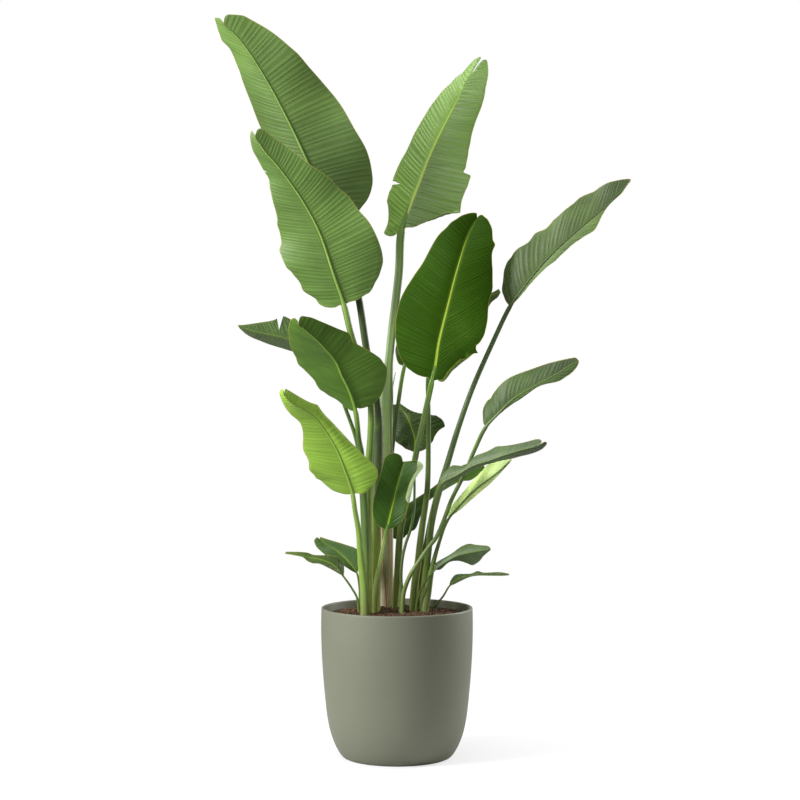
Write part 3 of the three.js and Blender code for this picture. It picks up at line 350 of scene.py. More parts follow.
            (-96, -112, 734), (-110, -124, 762), (-122, -134, 790), (-142, -150, 815),
            (-168, -170, 841), (-197, -190, 865),
        ],
        "left": {
            "turn": ((30, 50), (32, 52), (25, 45)), "veins": (46, 32, 14),
            "tone": (0.88, 0.84, 0.84),
            "edge": [
                (-90, 693), (-99, 698), (-108, 705), (-117, 713), (-125, 718), (-136, 724),
                (-146, 731), (-153, 735), (-160, 744), (-165, 754), (-176, 766), (-188, 778),
                (-197, 786), (-200, 793), (-202, 800), (-207, 809), (-212, 821), (-215, 832),
                (-216, 845), (-217, 857), (-215, 867), (-213, 874), (-209, 878), (-205, 879),
                (-200, 875), (-198, 869),
            ],
        },
        "right": {
            "turn": ((3, 16), (3, 16), (3, 12)), "wave": 6, "waves": 2, "veins": (95, 82, 84),
            "tone": (1.12, 1.06, 0.84), "tears": [(8, 0.5, 0.5)],
            "edge": [
                (-80, 699), (-74, 698), (-61, 701), (-54, 705), (-45, 709), (-38, 717), (-33, 723),
                (-28, 733), (-25, 741), (-22, 753), (-20, 765), (-20, 778), (-23, 784), (-28, 791),
                (-33, 798), (-42, 805), (-53, 812), (-62, 817), (-71, 822), (-80, 827), (-89, 832),
                (-92, 841), (-95, 847), (-99, 850), (-114, 856), (-135, 865), (-154, 873),
                (-171, 880), (-182, 882), (-190, 883), (-194, 880), (-196, 874), (-197, 868),
            ],
        },
    },
    "leaf_far_left": {
        "underside": "front", "rows": 11, "pleat": (8, 0.3), "rib_width": 1.2,
        "size": {"root": (6, 6), "foot": (3.5, 3.5)}, "specular": 0.4,
        "under": (0.078, 0.135, 0.032), "upper": (0.045, 0.11, 0.015),
        "rib_under": (0.12, 0.2, 0.03), "stalk_colour": (0.08, 0.14, 0.03),
        "stalk": [
            (-65, 22, 262), (-65, 22, 375), (-70, 10, 515), (-79, -12, 624), (-104, -34, 701),
            (-144, -54, 801),
        ],
        "rib": [
            (-184, -62, 825), (-218, -70, 837), (-263, -80, 847), (-288, -86, 853),
            (-319, -92, 864),
        ],
        "left": {
            "turn": ((45, 70), (45, 68), (40, 60)), "veins": (60, 60, 40),
            "edge": [
                (-174, 803), (-212, 813), (-228, 818), (-245, 823), (-260, 828), (-275, 834),
                (-290, 840), (-302, 847), (-310, 854), (-315, 859), (-317, 863),
            ],
        },
        "right": {
            "turn": ((20, 50), (22, 50), (20, 40)), "veins": (60, 60, 40), "tears": [(6, 0.3, 14)],
            "edge": [
                (-162, 825), (-194, 859), (-214, 877), (-226, 882), (-235, 880), (-246, 875),
                (-254, 873), (-274, 870), (-294, 867), (-310, 865), (-315, 865),
            ],
        },
    },
    "leaf_bright_left": {
        "slot": "leaf_pale", "underside": "front", "pleat": (9, 0.16), "rib_width": 1.6,
        "size": {"root": (10, 9), "foot": (4.5, 4)}, "specular": 0.15,
        "rib_painted_highlight": (0.3, 0.46, 0.06), "base_colour": (0.18, 0.24, 0.06),
        "under": (0.225, 0.385, 0.046), "upper": (0.16, 0.3, 0.04), "rib_under": (0.09, 0.2, 0.01),
        "stalk_colour": (0.2, 0.33, 0.05),
        "stalk": [
            (-64, -51, 262), (-64, -51, 295), (-66, -52, 343), (-71, -56, 385), (-74, -62, 417),
            (-77, -70, 453), (-84, -86, 493), (-89, -104, 527),
        ],
        "rib": [
            (-96, -116, 551), (-107, -130, 581), (-119, -142, 611), (-136, -155, 641),
            (-159, -172, 673), (-181, -188, 692), (-202, -202, 703), (-216, -211, 713),
            (-227, -218, 726),
        ],
        "left": {
            "turn": ((12, 28), (14, 30), (10, 26)), "wave": 6, "waves": 2.5, "veins": (57, 58, 18),
            "tone": (0.93, 0.93, 1.2),
            "edge": [
                (-102, 526), (-115, 529), (-130, 535), (-145, 547), (-154, 555), (-161, 558),
                (-167, 566), (-173, 572), (-176, 578), (-176, 587), (-178, 596), (-182, 604),
                (-186, 611), (-188, 619), (-188, 635), (-188, 649), (-190, 660), (-193, 668),
                (-199, 675), (-212, 686), (-222, 698), (-229, 711), (-234, 724), (-235, 730),
                (-232, 736), (-229, 737), (-228, 731),
            ],
        },
        "right": {
            "turn": ((-14, -4), (-24, 18), (-30, 50), (-24, 46), (-10, 8)), "veins": (88, 85, 80),
            "tone": (1.17, 1.17, 1.2),
            "edge": [
                (-80, 528), (-72, 527), (-64, 529), (-56, 536), (-46, 547), (-39, 559), (-38, 567),
                (-40, 577), (-46, 585), (-54, 593), (-67, 605), (-79, 618), (-92, 630), (-104, 643),
                (-118, 658), (-130, 671), (-144, 685), (-154, 698), (-159, 705), (-168, 708),
                (-178, 712), (-191, 719), (-206, 728), (-216, 734), (-223, 737), (-225, 734),
                (-225, 728),
            ],
        },
    },
    "leaf_low_centre": {
        "slot": "leaf_dark", "underside": "back", "pleat": (6, 0.34), "rib_width": 2.0,
        "size": {"root": (8.8, 8), "foot": (3.5, 3.5)}, "specular": 0.15,
        # under is the real pale underside made lighter still: painted light on the curled flap,
        # which lies in shade
        "base_colour": (0.3, 0.42, 0.07), "under": (0.46, 0.62, 0.31),
        "upper": (0.031, 0.08, 0.009), "rib_colour": (0.27, 0.42, 0.03),
        "stalk_colour": (0.28, 0.37, 0.1),
        "stalk": [
            (-44, -27, 262), (-44, -27, 303), (-42, -30, 335), (-37, -35, 369), (-31, -47, 403),
            (-26, -58, 429), (-21, -74, 454),
        ],
        "rib": [(-13, -80, 488), (-6, -78, 516), (0, -72, 543), (7, -64, 569), (12, -56, 591)],
        "left": {
            "turn": ((-10, 5), (-8, 8), (-5, 10)), "veins": (55, 55, 55),
            "edge": [
                (-29, 458), (-40, 465), (-47, 479), (-49, 495), (-47, 516), (-40, 543), (-33, 568),
                (-28, 589), (-25, 599), (-19, 605), (-14, 608), (-6, 609), (2, 607), (7, 604),
                (10, 599), (11, 594),
            ],
        },
        "right": {
            "turn": ((-10, -20), (-10, -25), (-10, -20)), "curl": (0.3, 0.84, 0.7, -150, 0.12),
            "veins": (44, 42, 45),
            "edge": [
                (-10, 458), (0, 463), (10, 472), (16, 485), (19, 495), (21, 505), (24, 516),
                (28, 531), (35, 554), (40, 563), (46, 572), (52, 580), (51, 587), (46, 591),
                (41, 593), (26, 593), (16, 592), (13, 592),
            ],
        },
    },
    "leaf_dark_back": {
        "slot": "leaf_dark", "underside": "back", "pleat": (8, 0.8), "rib_width": 1.8,
        "size": {"root": (3.8, 3.8), "foot": (2.4, 2.4)}, "specular": 0.12, "fine": 0.6,
        "under": (0.09, 0.15, 0.05), "upper": (0.026, 0.045, 0.011),
        "rib_colour": (0.16, 0.24, 0.03), "stalk_colour": (0.08, 0.14, 0.03),
        "stalk": [
            (7, -19, 262), (7, -19, 303), (9, -19, 335), (8, -18, 363), (11, -14, 399),
            (18, -8, 429), (27, 0, 455), (33, 12, 487), (35, 26, 525), (35, 40, 565), (35, 58, 610),
        ],
        "rib": [
            (36, 66, 623), (35, 75, 641), (30, 86, 657), (22, 100, 677), (15, 112, 689),
            (-3, 128, 706),
        ],
        "left": {
            "turn": ((-8, 20), (-8, 20), (-5, 15)), "veins": (40, 40, 40), "tone": (0.9, 0.9, 0.9),
            "edge": [
                (26, 614), (16, 618), (10, 623), (2, 628), (-5, 635), (-12, 655), (-15, 683),
                (-10, 707),
            ],
        },
        "right": {
            "turn": ((-8, 20), (-8, 20), (-5, 15)), "veins": (90, 88, 80), "tone": (1.5, 1.5, 1.4),
            "edge": [
                (46, 612), (54, 615), (61, 620), (68, 628), (72, 633), (75, 641), (78, 646),
                (83, 653), (91, 659), (96, 662), (95, 667), (93, 672), (88, 678), (83, 681),
                (78, 684), (70, 685), (56, 687), (43, 689), (30, 693), (18, 700), (4, 710),
            ],
        },
    },
    "leaf_upper_right": {
        "underside": "front", "pleat": (12, 0.5), "rib_width": 1.4,
        "size": {"root": (8, 7), "foot": (4.5, 4)}, "specular": 0.35, "fine": 0.35,
        "under": (0.05, 0.083, 0.018), "upper": (0.05, 0.12, 0.02),
        "rib_under": (0.05, 0.085, 0.015), "stalk_colour": (0.09, 0.145, 0.045),
        "stalk": [
            (44, 24, 262), (44, 24, 305), (47, 23, 335), (52, 20, 375), (59, 15, 415), (66, 8, 455),
            (75, 2, 499), (86, -4, 539), (99, -8, 581), (122, -16, 657), (150, -24, 736),
            (190, -30, 827), (226, -36, 902),
        ],
        "rib": [
            (246, -44, 930), (284, -54, 979), (324, -64, 1021), (364, -74, 1057), (400, -82, 1087),
            (423, -88, 1106), (467, -100, 1155),
        ],
        "left": {
            "turn": ((10, 28), (12, 30), (10, 20)), "wave": 10, "waves": 3, "veins": (55, 35, 24),
            "tone": (0.92, 1.13, 0.54),
            "edge": [
                (222, 906), (217, 913), (213, 923), (210, 932), (210, 941), (212, 953), (213, 964),
                (214, 974), (217, 983), (221, 992), (228, 1000), (234, 1010), (243, 1019),
                (254, 1025), (264, 1032), (269, 1039), (274, 1046), (281, 1051), (290, 1054),
                (298, 1058), (305, 1065), (312, 1074), (320, 1081), (332, 1092), (342, 1100),
                (354, 1109), (362, 1117), (372, 1123), (382, 1127), (394, 1132), (406, 1141),
                (421, 1149), (432, 1152), (446, 1155), (463, 1157),
            ],
        },
        "right": {
            "turn": ((-28, -14), (-34, -14), (-28, -10)), "veins": (32, 28, 26),
            "tone": (1.4, 1.45, 1.2),
            "edge": [
                (234, 909), (251, 928), (266, 947), (275, 957), (293, 975), (302, 983), (315, 992),
                (326, 1003), (337, 1013), (350, 1025), (364, 1035), (378, 1044), (394, 1054),
                (402, 1067), (409, 1082), (418, 1097), (427, 1108), (438, 1118), (449, 1128),
                (458, 1141), (466, 1151),
            ],
        },
    },
    "leaf_mid_right": {
        "underside": "front", "pleat": (11, 0.42), "rib_width": 1.2,
        "size": {"root": (4.5, 4.5), "foot": (4, 3.6)}, "specular": 0.3, "fine": 0.35,
        "under": (0.036, 0.066, 0.012), "upper": (0.08, 0.16, 0.03),
        "rib_under": (0.09, 0.15, 0.03), "stalk_colour": (0.085, 0.145, 0.02),
        "stalk": [
            (11, -31, 262), (11, -31, 303), (14, -34, 331), (27, -42, 365), (45, -45, 393),
            (64, -48, 421), (78, -50, 439), (91, -53, 467), (110, -57, 517), (137, -62, 571),
            (157, -71, 619), (178, -86, 661),
        ],
        "rib": [
            (204, -98, 689), (228, -106, 713), (257, -114, 733), (283, -121, 747), (316, -129, 765),
            (363, -140, 795),
        ],
        "left": {
            "turn": ((10, 30), (12, 34), (8, 22)), "wave": 8, "waves": 2, "veins": (55, 42, 32),
            "tone": (1, 1, 0.8),
            "edge": [
                (173, 668), (172, 677), (172, 695), (176, 706), (182, 715), (187, 718), (192, 727),
                (201, 739), (210, 749), (222, 758), (236, 765), (269, 777), (304, 789), (333, 796),
                (348, 799), (357, 800), (361, 797),
            ],
        },
        "right": {
            "turn": ((-24, -8), (-28, -8), (-24, -6)), "veins": (35, 32, 30),
            "tone": (1.1, 1.15, 1.3),
            "edge": [
                (184, 666), (195, 679), (206, 689), (220, 699), (234, 709), (246, 716), (260, 726),
                (278, 739), (288, 744), (298, 747), (318, 751), (327, 754), (336, 760), (348, 768),
                (356, 776), (362, 785), (364, 792),
            ],
        },
    },
    "leaf_lower_right": {
        "underside": "front", "pleat": (9, 0.34), "rib_width": 1.2,
        "size": {"root": (8, 7), "foot": (4, 3.6)}, "specular": 0.4, "fine": 0.5,
        "under": (0.07, 0.105, 0.042), "upper": (0.05, 0.1, 0.02), "rib_under": (0.09, 0.15, 0.03),
        "stalk_colour": (0.075, 0.13, 0.015),
        "stalk": [
            (53, 3, 262), (53, 2, 303), (55, -2, 335), (59, -10, 375), (64, -22, 415),
            (69, -38, 455), (74, -56, 495), (80, -71, 521), (90, -90, 548),
        ],
        "rib": [
            (122, -104, 566), (151, -118, 583), (181, -132, 593), (216, -148, 605),
            (256, -164, 617), (284, -176, 624),
        ],
        "left": {
            "turn": ((12, 30), (12, 32), (10, 28)), "wave": 8, "waves": 2,
            "edge": [
                (87, 556), (90, 564), (96, 571), (104, 579), (111, 584), (134, 583), (146, 587),
                (149, 589), (152, 596), (157, 603), (175, 610), (186, 615), (199, 622), (212, 623),
                (228, 625), (257, 631), (283, 637), (288, 635), (290, 632), (286, 628),
            ],
        },
        "right": {
            "turn": ((0, 18), (0, 20), (0, 16)),
            "edge": [
                (98, 541), (102, 545), (110, 553), (118, 560), (140, 574), (163, 583), (180, 590),
                (195, 595), (231, 598), (246, 602), (263, 606), (276, 610), (289, 616), (296, 622),
                (300, 628), (299, 631), (295, 631), (289, 626),
            ],
        },
    },
    "leaf_pale_right": {
        "slot": "leaf_pale", "underside": "front", "pleat": (9, 0.34), "rib_width": 1.2,
        "size": {"root": (9, 8), "foot": (2.8, 2.6)}, "specular": 0.3, "fine": 0.5,
        "under": (0.36, 0.48, 0.16), "upper": (0.14, 0.26, 0.04), "rib_under": (0.09, 0.16, 0.02),
        "stalk_colour": (0.095, 0.16, 0.018),
        "stalk": [
            (56, -14, 262), (56, -14, 299), (61, -14, 325), (67, -14, 362), (73, -15, 390),
            (86, -18, 435), (96, -23, 463), (104, -28, 478),
        ],
        "rib": [
            (120, -33, 497), (134, -38, 513), (150, -44, 529), (166, -50, 543), (186, -58, 558),
            (206, -66, 574), (229, -76, 596),
        ],
        "left": {
            "turn": ((20, 36), (22, 40), (16, 30)), "veins": (55, 40, 30), "tone": (1.8, 1.8, 0.95),
            "edge": [
                (102, 485), (107, 499), (122, 518), (145, 545), (169, 572), (186, 589), (198, 593),
                (212, 595), (228, 598),
            ],
        },
        "right": {
            "turn": ((-10, -18), (-10, -20), (-8, -14)), "veins": (55, 40, 30),
            "tone": (1.65, 1.55, 0.9),
            "edge": [
                (110, 483), (119, 490), (132, 500), (145, 512), (158, 523), (172, 535), (186, 547),
                (199, 560), (211, 573), (222, 585), (230, 595),
            ],
        },
    },
    "leaf_low_back": {
        "slot": "leaf_dark", "underside": "back", "pleat": (7, 0.28), "rib_width": 1.4,
        "size": {"root": (7, 6), "foot": (3.6, 3.2)}, "specular": 0.35, "under": (0.06, 0.11, 0.03),
        "upper": (0.028, 0.06, 0.008), "rib_colour": (0.1, 0.17, 0.03),
        "stalk_colour": (0.1, 0.16, 0.04),
        "stalk": [(1, 84, 262), (1, 84, 315), (2, 84, 375), (3, 88, 411), (4, 92, 435)],
        "rib": [
            (13, 98, 465), (34, 104, 491), (66, 112, 517), (106, 122, 543), (146, 132, 564),
            (175, 140, 583),
        ],
        "left": {
            "turn": ((-15, 30), (-15, 25), (-10, 20)), "veins": (60, 50, 40), "tone": (1, 1.6, 5.0),
            "edge": [
                (-13, 440), (-21, 453), (-18, 479), (6, 497), (38, 518), (70, 539), (102, 565),
                (136, 586), (170, 588),
            ],
        },
        "right": {
            "turn": ((-15, 30), (-15, 25), (-10, 20)), "veins": (60, 50, 40), "tone": (1, 1.6, 5.0),
            "edge": [
                (13, 438), (24, 451), (36, 456), (49, 487), (68, 519), (86, 539), (110, 550),
                (134, 553), (146, 554), (155, 559), (166, 568), (175, 577),
            ],
        },
    },
    "leaf_sprout_right": {
        **SPROUT, "underside": "front", "size": {"root": (3, 3), "foot": (2, 2)},
        "under": (0.075, 0.125, 0.038), "upper": (0.05, 0.1, 0.02), "rib_under": (0.09, 0.16, 0.03),
        "stalk_colour": (0.1, 0.17, 0.03),
        "stalk": [(38, -20, 262), (38, -20, 295), (45, -23, 328), (60, -27, 355), (76, -32, 375)],
        "rib": [(98, -38, 391), (118, -44, 402), (140, -50, 408), (162, -56, 412), (188, -62, 416)],
        "left": {
            "turn": ((20, 40), (25, 45), (15, 30)),
            "edge": [
                (74, 384), (85, 393), (99, 401), (112, 409), (121, 416), (132, 423), (145, 427),
                (158, 425), (170, 424), (180, 423), (185, 421), (188, 417),
            ],
        },
        "right": {
            "turn": ((35, 60), (35, 60), (30, 50)),
            "edge": [
                (86, 375), (102, 389), (108, 393), (115, 394), (128, 392), (140, 388), (151, 384),
                (158, 387), (166, 393), (173, 402), (182, 410), (187, 414),
            ],
        },
    },
    "leaf_sprout_far_right": {
        **SPROUT, "underside": "back", "size": {"root": (2.8, 2.8), "foot": (1.8, 1.8)},
        "upper": (0.07, 0.13, 0.03),
        "stalk": [(69, 36, 262), (69, 36, 295), (79, 36, 306), (92, 35, 321), (105, 33, 342)],
        "rib": [(122, 30, 356), (146, 26, 363), (178, 20, 366), (225, 12, 366)],
        "left": {
            "turn": ((35, 55), (40, 60), (30, 50)),
            "edge": [
                (106, 349), (108, 354), (112, 360), (116, 364), (122, 366), (148, 367), (154, 369),
                (161, 372), (174, 369), (202, 370), (214, 369), (223, 367),
            ],
        },
        "right": {
            "turn": ((-50, -65), (-60, -72), (-45, -60)),
            "edge": [
                (115, 346), (129, 353), (145, 360), (160, 363), (185, 363), (215, 363), (225, 364),
            ],
        },
    },
    "leaf_sprout_far_left": {
        **SPROUT, "underside": "back", "size": {"root": (3, 3), "foot": (2, 2)},
        "upper": (0.07, 0.12, 0.03),
        "stalk": [
            (-77, 0, 262), (-77, 0, 299), (-81, 0, 321), (-89, -1, 335), (-96, -3, 346),
            (-107, -6, 361),
        ],
        "rib": [
            (-124, -10, 381), (-150, -16, 394), (-178, -22, 400), (-202, -28, 407),
            (-224, -33, 409),
        ],
        "left": {
            "turn": ((-40, -60), (-40, -60), (-30, -50)),
            "edge": [
                (-113, 365), (-125, 372), (-140, 380), (-156, 387), (-169, 388), (-179, 392),
                (-189, 400), (-206, 404), (-224, 407),
            ],
        },
        "right": {
            "turn": ((25, 45), (30, 50), (20, 40)),
            "edge": [
                (-106, 372), (-107, 382), (-113, 392), (-121, 400), (-135, 404), (-151, 404),
                (-168, 405), (-179, 409), (-209, 411), (-222, 411),
            ],
        },
    },
    "leaf_sprout_left": {
        **SPROUT, "underside": "back", "rib_width": 1.2, "size": {"root": (3, 3), "foot": (2, 2)},
        "upper": (0.06, 0.12, 0.03),
        "stalk": [(-75, 20, 262), (-75, 20, 299), (-75, 20, 335), (-77, 21, 353), (-80, 22, 367)],
        "rib": [(-94, 24, 387), (-108, 26, 402), (-124, 28, 415), (-140, 30, 423), (-156, 32, 435)],
        "left": {
            "turn": ((-20, -5), (-20, 0), (-15, 0)),
            "edge": [
                (-88, 371), (-106, 382), (-128, 393), (-147, 407), (-155, 414), (-161, 420),
                (-165, 428), (-166, 434), (-163, 438), (-159, 440), (-157, 438),
            ],
        },
        "right": {
            "turn": ((-20, -5), (-20, 0), (-15, 0)),
            "edge": [
                (-75, 383), (-75, 403), (-80, 416), (-105, 426), (-121, 431), (-138, 436),
                (-154, 441),
            ],
        },
    },
    "leaf_behind_centre_left": {
        **HIDDEN, "size": {"root": (7, 7), "foot": (4, 4)}, "upper": (0.036, 0.08, 0.01),
        "stalk_colour": (0.09, 0.14, 0.035),
        "stalk": [
            (-19, 86, 262), (-19, 86, 319), (-18, 80, 435), (-16, 72, 515), (-10, 64, 613),
            (2, 52, 705), (15, 44, 783),
        ],
        "rib": [(36, 60, 845), (66, 88, 925), (98, 120, 999), (124, 150, 1058)],
        "left": {
            **HIDDEN_HALF,
            "edge": [(4, 787), (-3, 811), (4, 845), (26, 909), (56, 965), (88, 1021), (118, 1057)],
        },
        "right": {
            **HIDDEN_HALF,
            "edge": [
                (30, 791), (56, 815), (86, 865), (116, 925), (132, 985), (136, 1025), (128, 1053),
            ],
        },
    },
    "leaf_behind_centre_right": {
        **HIDDEN, "size": {"root": (9, 7), "foot": (4, 4)}, "base_colour": (0.2, 0.3, 0.05),
        "upper": (0.05, 0.085, 0.02), "stalk_colour": (0.09, 0.15, 0.025),
        "stalk": [
            (33, 8, 262), (33, 8, 303), (37, 8, 355), (42, 8, 387), (46, 8, 425), (51, 8, 465),
            (57, 9, 505), (61, 10, 541), (63, 12, 639), (63, 12, 697), (62, 14, 761),
        ],
        "rib": [(74, 24, 825), (98, 40, 871), (136, 62, 905), (176, 84, 920), (206, 98, 933)],
        "left": {
            **HIDDEN_HALF,
            "edge": [
                (54, 779), (48, 815), (62, 865), (96, 909), (136, 921), (170, 923), (192, 931),
                (203, 937),
            ],
        },
        "right": {
            **HIDDEN_HALF,
            "edge": [
                (78, 771), (110, 791), (142, 819), (166, 855), (174, 879), (188, 909), (202, 921),
                (207, 930),
            ],
        },
    },
}

# the rolled young leaf behind the top right leaf's stalk
SPEAR = {
    **USUAL_LEAF, "underside": "back", "reach": 0.999,
    "size": {"root": (3, 3), "foot": (3.4, 3.4), "tip": (0.7, 0.7)},
    "rib_under": (0.24, 0.34, 0.04), "stalk_colour": (0.1, 0.17, 0.04),
    "stalk": [(-32, 78, 262), (-32, 78, 335), (-28, 76, 453), (-24, 70, 615), (-15, 64, 695)],
    "rib": [(-9, 60, 739), (-3, 57, 771)],
}


def filled(shape):
    """A leaf with the usual values where its shape gives none."""
    halves = {side: {**USUAL_HALF, **shape[side]} for side in ("left", "right")}
    return {**USUAL_LEAF, **shape, **halves}


LEAVES = {node: filled(shape) for node, shape in LEAF_SHAPES.items()}


# ---- curves ----
class SmoothCurve:
    """A centripetal curve through its points, read by the share of its length."""

    def __init__(self, points):
        points = np.array(points, float)
        first = 2 * points[0] - points[1]
        last = 2 * points[-1] - points[-2]
        ends = [first, *points, last]
        run = [points[:1]]
        for before, start, end, after in zip(ends, ends[1:], ends[2:], ends[3:]):
            run.append(self.span(before, start, end, after)[1:])
        self.points = np.concatenate(run)
        steps = np.linalg.norm(np.diff(self.points, axis=0), axis=1)
        self.lengths = np.concatenate([[0.0], np.cumsum(steps)])
        self.length = self.lengths[-1]

    @staticmethod
    def span(before, start, end, after):
        """Points from start to end, bent as the points before and after them ask."""
        pairs = ((before, start), (start, end), (end, after))
        first, gap, last = (np.linalg.norm(b - a) ** 0.5 for a, b in pairs)
        leave = (start - before) / first - (end - before) / (first + gap) + (end - start) / gap
        arrive = (end - start) / gap - (after - start) / (gap + last) + (after - end) / last
        leave = leave * gap
        arrive = arrive * gap
        u = np.linspace(0, 1, CURVE_DIVISIONS + 1)[:, None]
        bend = -3 * start + 3 * end - 2 * leave - arrive
        twist = 2 * start - 2 * end + leave + arrive
        return start + leave * u + bend * u**2 + twist * u**3

    def share_at(self, index):
        return self.lengths[index * CURVE_DIVISIONS] / self.length

    def at(self, share):
        reach = np.clip(share, 0, 1) * self.length
        return np.stack([np.interp(reach, self.lengths, axis) for axis in self.points.T], axis=-1)


def sight(seen):
    """Points as seen, slid along their sight lines to their true depth."""
    flat = np.array(seen, float)
    depth = flat[..., 1:2].copy()
    flat[..., 1] = 0
    return (flat - EYE) * (depth - EYE[1]) / -EYE[1] + EYE


def unit(vectors):
    return vectors / np.maximum(np.linalg.norm(vectors, axis=-1, keepdims=True), 1e-12)


def smooth(low, high, value):
    """Rises smoothly from 0 at low to 1 at high, or falls where low is the larger."""
    share = np.clip((value - low) / (high - low), 0, 1)
    return share * share * (3 - 2 * share)


# ---- meshes ----
class Shell:
    """Closed bodies gathered one by one, with their point values, and made into one object."""

    def __init__(self):
        self.points = []
        self.faces = []
        self.slots = []
        self.values = {}
        self.count = 0

    def add(self, points, faces, slot=0, **values):
        points = np.asarray(points).reshape(-1, 3)
        for name in sorted({*self.values, *values}):
            held = self.values.setdefault(name, [np.zeros(self.count)])
            held.append(np.broadcast_to(values.get(name, 0.0), len(points)))
        self.points.append(points)
        self.faces.extend(tuple(int(corner) + self.count for corner in face) for face in faces)
        self.slots.extend([slot] * len(faces))
        self.count += len(points)

    def make(self, name, materials, sharp=None):
        mesh = bpy.data.meshes.new(name)
        mesh.from_pydata(np.concatenate(self.points).tolist(), [], self.faces)
        mesh.polygons.foreach_set("material_index", self.slots)
        for label, held in self.values.items():
            layer = mesh.attributes.new(label, "FLOAT", "POINT")
            layer.data.foreach_set("value", np.concatenate(held).astype(np.float32))
        for material in materials:
            mesh.materials.append(material)
        mesh.shade_smooth()
        if sharp is not None:
            mesh.set_sharp_from_angle(angle=math.radians(sharp))
        mesh.update()
        piece = bpy.data.objects.new(name, mesh)
        bpy.context.scene.collection.objects.link(piece)
        return piece


def settle(piece, slot, *nodes):
    """Puts a finished piece on the part, with the solids that it stands for."""
    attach(piece, "root")
    if nodes:
        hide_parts(*nodes)


def tube_faces(rings, sides):
    """Faces of a closed tube whose points are its start, its rings one by one and its end."""
    faces = []
    last = 1 + rings * sides
    for k in range(sides):
        after = (k + 1) % sides
        faces.append((0, 1 + after, 1 + k))
        for low in range(1, last - sides, sides):
            faces.append((low + k, low + after, low + sides + after, low + sides + k))
        faces.append((last - sides + k, last - sides + after, last))
    return faces


def turned(profile, sides):
    """A closed profile, [radius, height] from the axis to the axis, spun round."""
    angles = np.linspace(0, 2 * math.pi, sides, endpoint=False)
    rings = [
        np.stack([r * np.cos(angles), r * np.sin(angles), np.full(sides, z)], axis=-1)
        for r, z in profile[1:-1]
    ]
    points = np.concatenate([[[0, 0, profile[0][1]]], *rings, [[0, 0, profile[-1][1]]]])
    return points, tube_faces(len(rings), sides)


def arc(centre, radius, start, end, steps):
    """Points of a profile's round corner, from one angle to another in degrees."""
    turns = np.radians(np.linspace(start, end, steps))
    return [(centre[0] + radius * math.cos(a), centre[1] + radius * math.sin(a)) for a in turns]


# ---- a leaf's stalk and midrib ----
class LeafPath:
    """A leaf's line from its root in the soil, up its stalk and along its midrib to the tip."""

    def __init__(self, leaf):
        self.curve = SmoothCurve(np.array([*leaf["stalk"], *leaf["rib"]]) * MM)
        self.foot = self.curve.share_at(len(leaf["stalk"]) - 1)
        self.rib_length = self.curve.length * (1 - self.foot)

    def rib(self, s):
        return self.curve.at(self.foot + (1 - self.foot) * s)

    def place(self, share):
        return sight(self.curve.at(share))

    def frames(self, share):
        """The place, and the directions across as seen and in depth, at shares of the path."""
        ahead = self.place(np.minimum(share + SMALL_STEP, 1))
        along = unit(ahead - self.place(np.maximum(share - SMALL_STEP, 0)))
        across = unit(np.cross(AWAY, along))
        return self.place(share), across, unit(np.cross(along, across))

    def up(self, share):
        """0 at the root, 1 at the blade's foot and 2 at the tip."""
        on_rib = (share - self.foot) / (1 - self.foot)
        return np.where(share < self.foot, share / self.foot, 1 + on_rib)


def stalk_half(leaf, up):
    """Half sizes of the stalk and midrib, across and in depth."""
    size = {end: np.array(values) * MM for end, values in leaf["size"].items() if end != "sheath"}
    tip = size.get("tip", np.array(RIB_TIP) * MM)
    on_rib = np.clip(up - 1, 0, 1)[:, None] ** RIB_TAPER
    stalk = np.clip(up, 0, 1)[:, None]
    if "sheath" in leaf["size"]:
        wide, deep, end = leaf["size"]["sheath"]
        widened = np.array([wide, deep]) * MM - size["root"]
        low = size["root"] + widened * np.minimum(stalk / end, 1)
        on_stalk = low + (size["foot"] - low) * smooth(end, end + SHEATH_FADE, stalk)
    else:
        on_stalk = size["foot"] + (size["root"] - size["foot"]) * (1 - stalk) ** STALK_TAPER
    return np.where(up[:, None] <= 1, on_stalk, size["foot"] + (tip - size["foot"]) * on_rib)


def stalk_section(leaf, path, share, around, proud=0.0):
    """Points on the stalk, around its channel's middle in degrees, one column for each angle."""
    side = -1 if leaf["underside"] == "front" else 1
    turn = np.radians(around - 90 * side)
    up = path.up(share)
    place, across, deep = path.frames(share)
    half = stalk_half(leaf, up) + proud
    channel = CHANNEL_DEPTH * (0.3 + 0.7 * smooth(0.35, 0.8, up))
    hollow = 1 - channel[:, None] * np.exp(-((around / CHANNEL_SPREAD) ** 2))
    stands_out = RIB_PROUD if leaf["underside"] == "front" else RIB_SUNK
    lift = side * stands_out * (half[:, 1] - 0.4 * MM) * np.clip((up - 1) / RIB_RISE, 0, 1)
    wide = half[:, :1] * np.cos(turn) * hollow
    back = half[:, 1:] * np.sin(turn) * hollow + lift[:, None]
    return place[:, None] + across[:, None] * wide[..., None] + deep[:, None] * back[..., None]


def seam_angle(leaf, up):
    """How far round from the channel's middle the sheath's edge runs, in degrees."""
    low, high = leaf.get("seam", SEAMS[leaf["underside"]])
    return low + (high - low) * smooth(0.02, 0.2, up) + 3 * np.sin(up * 23)


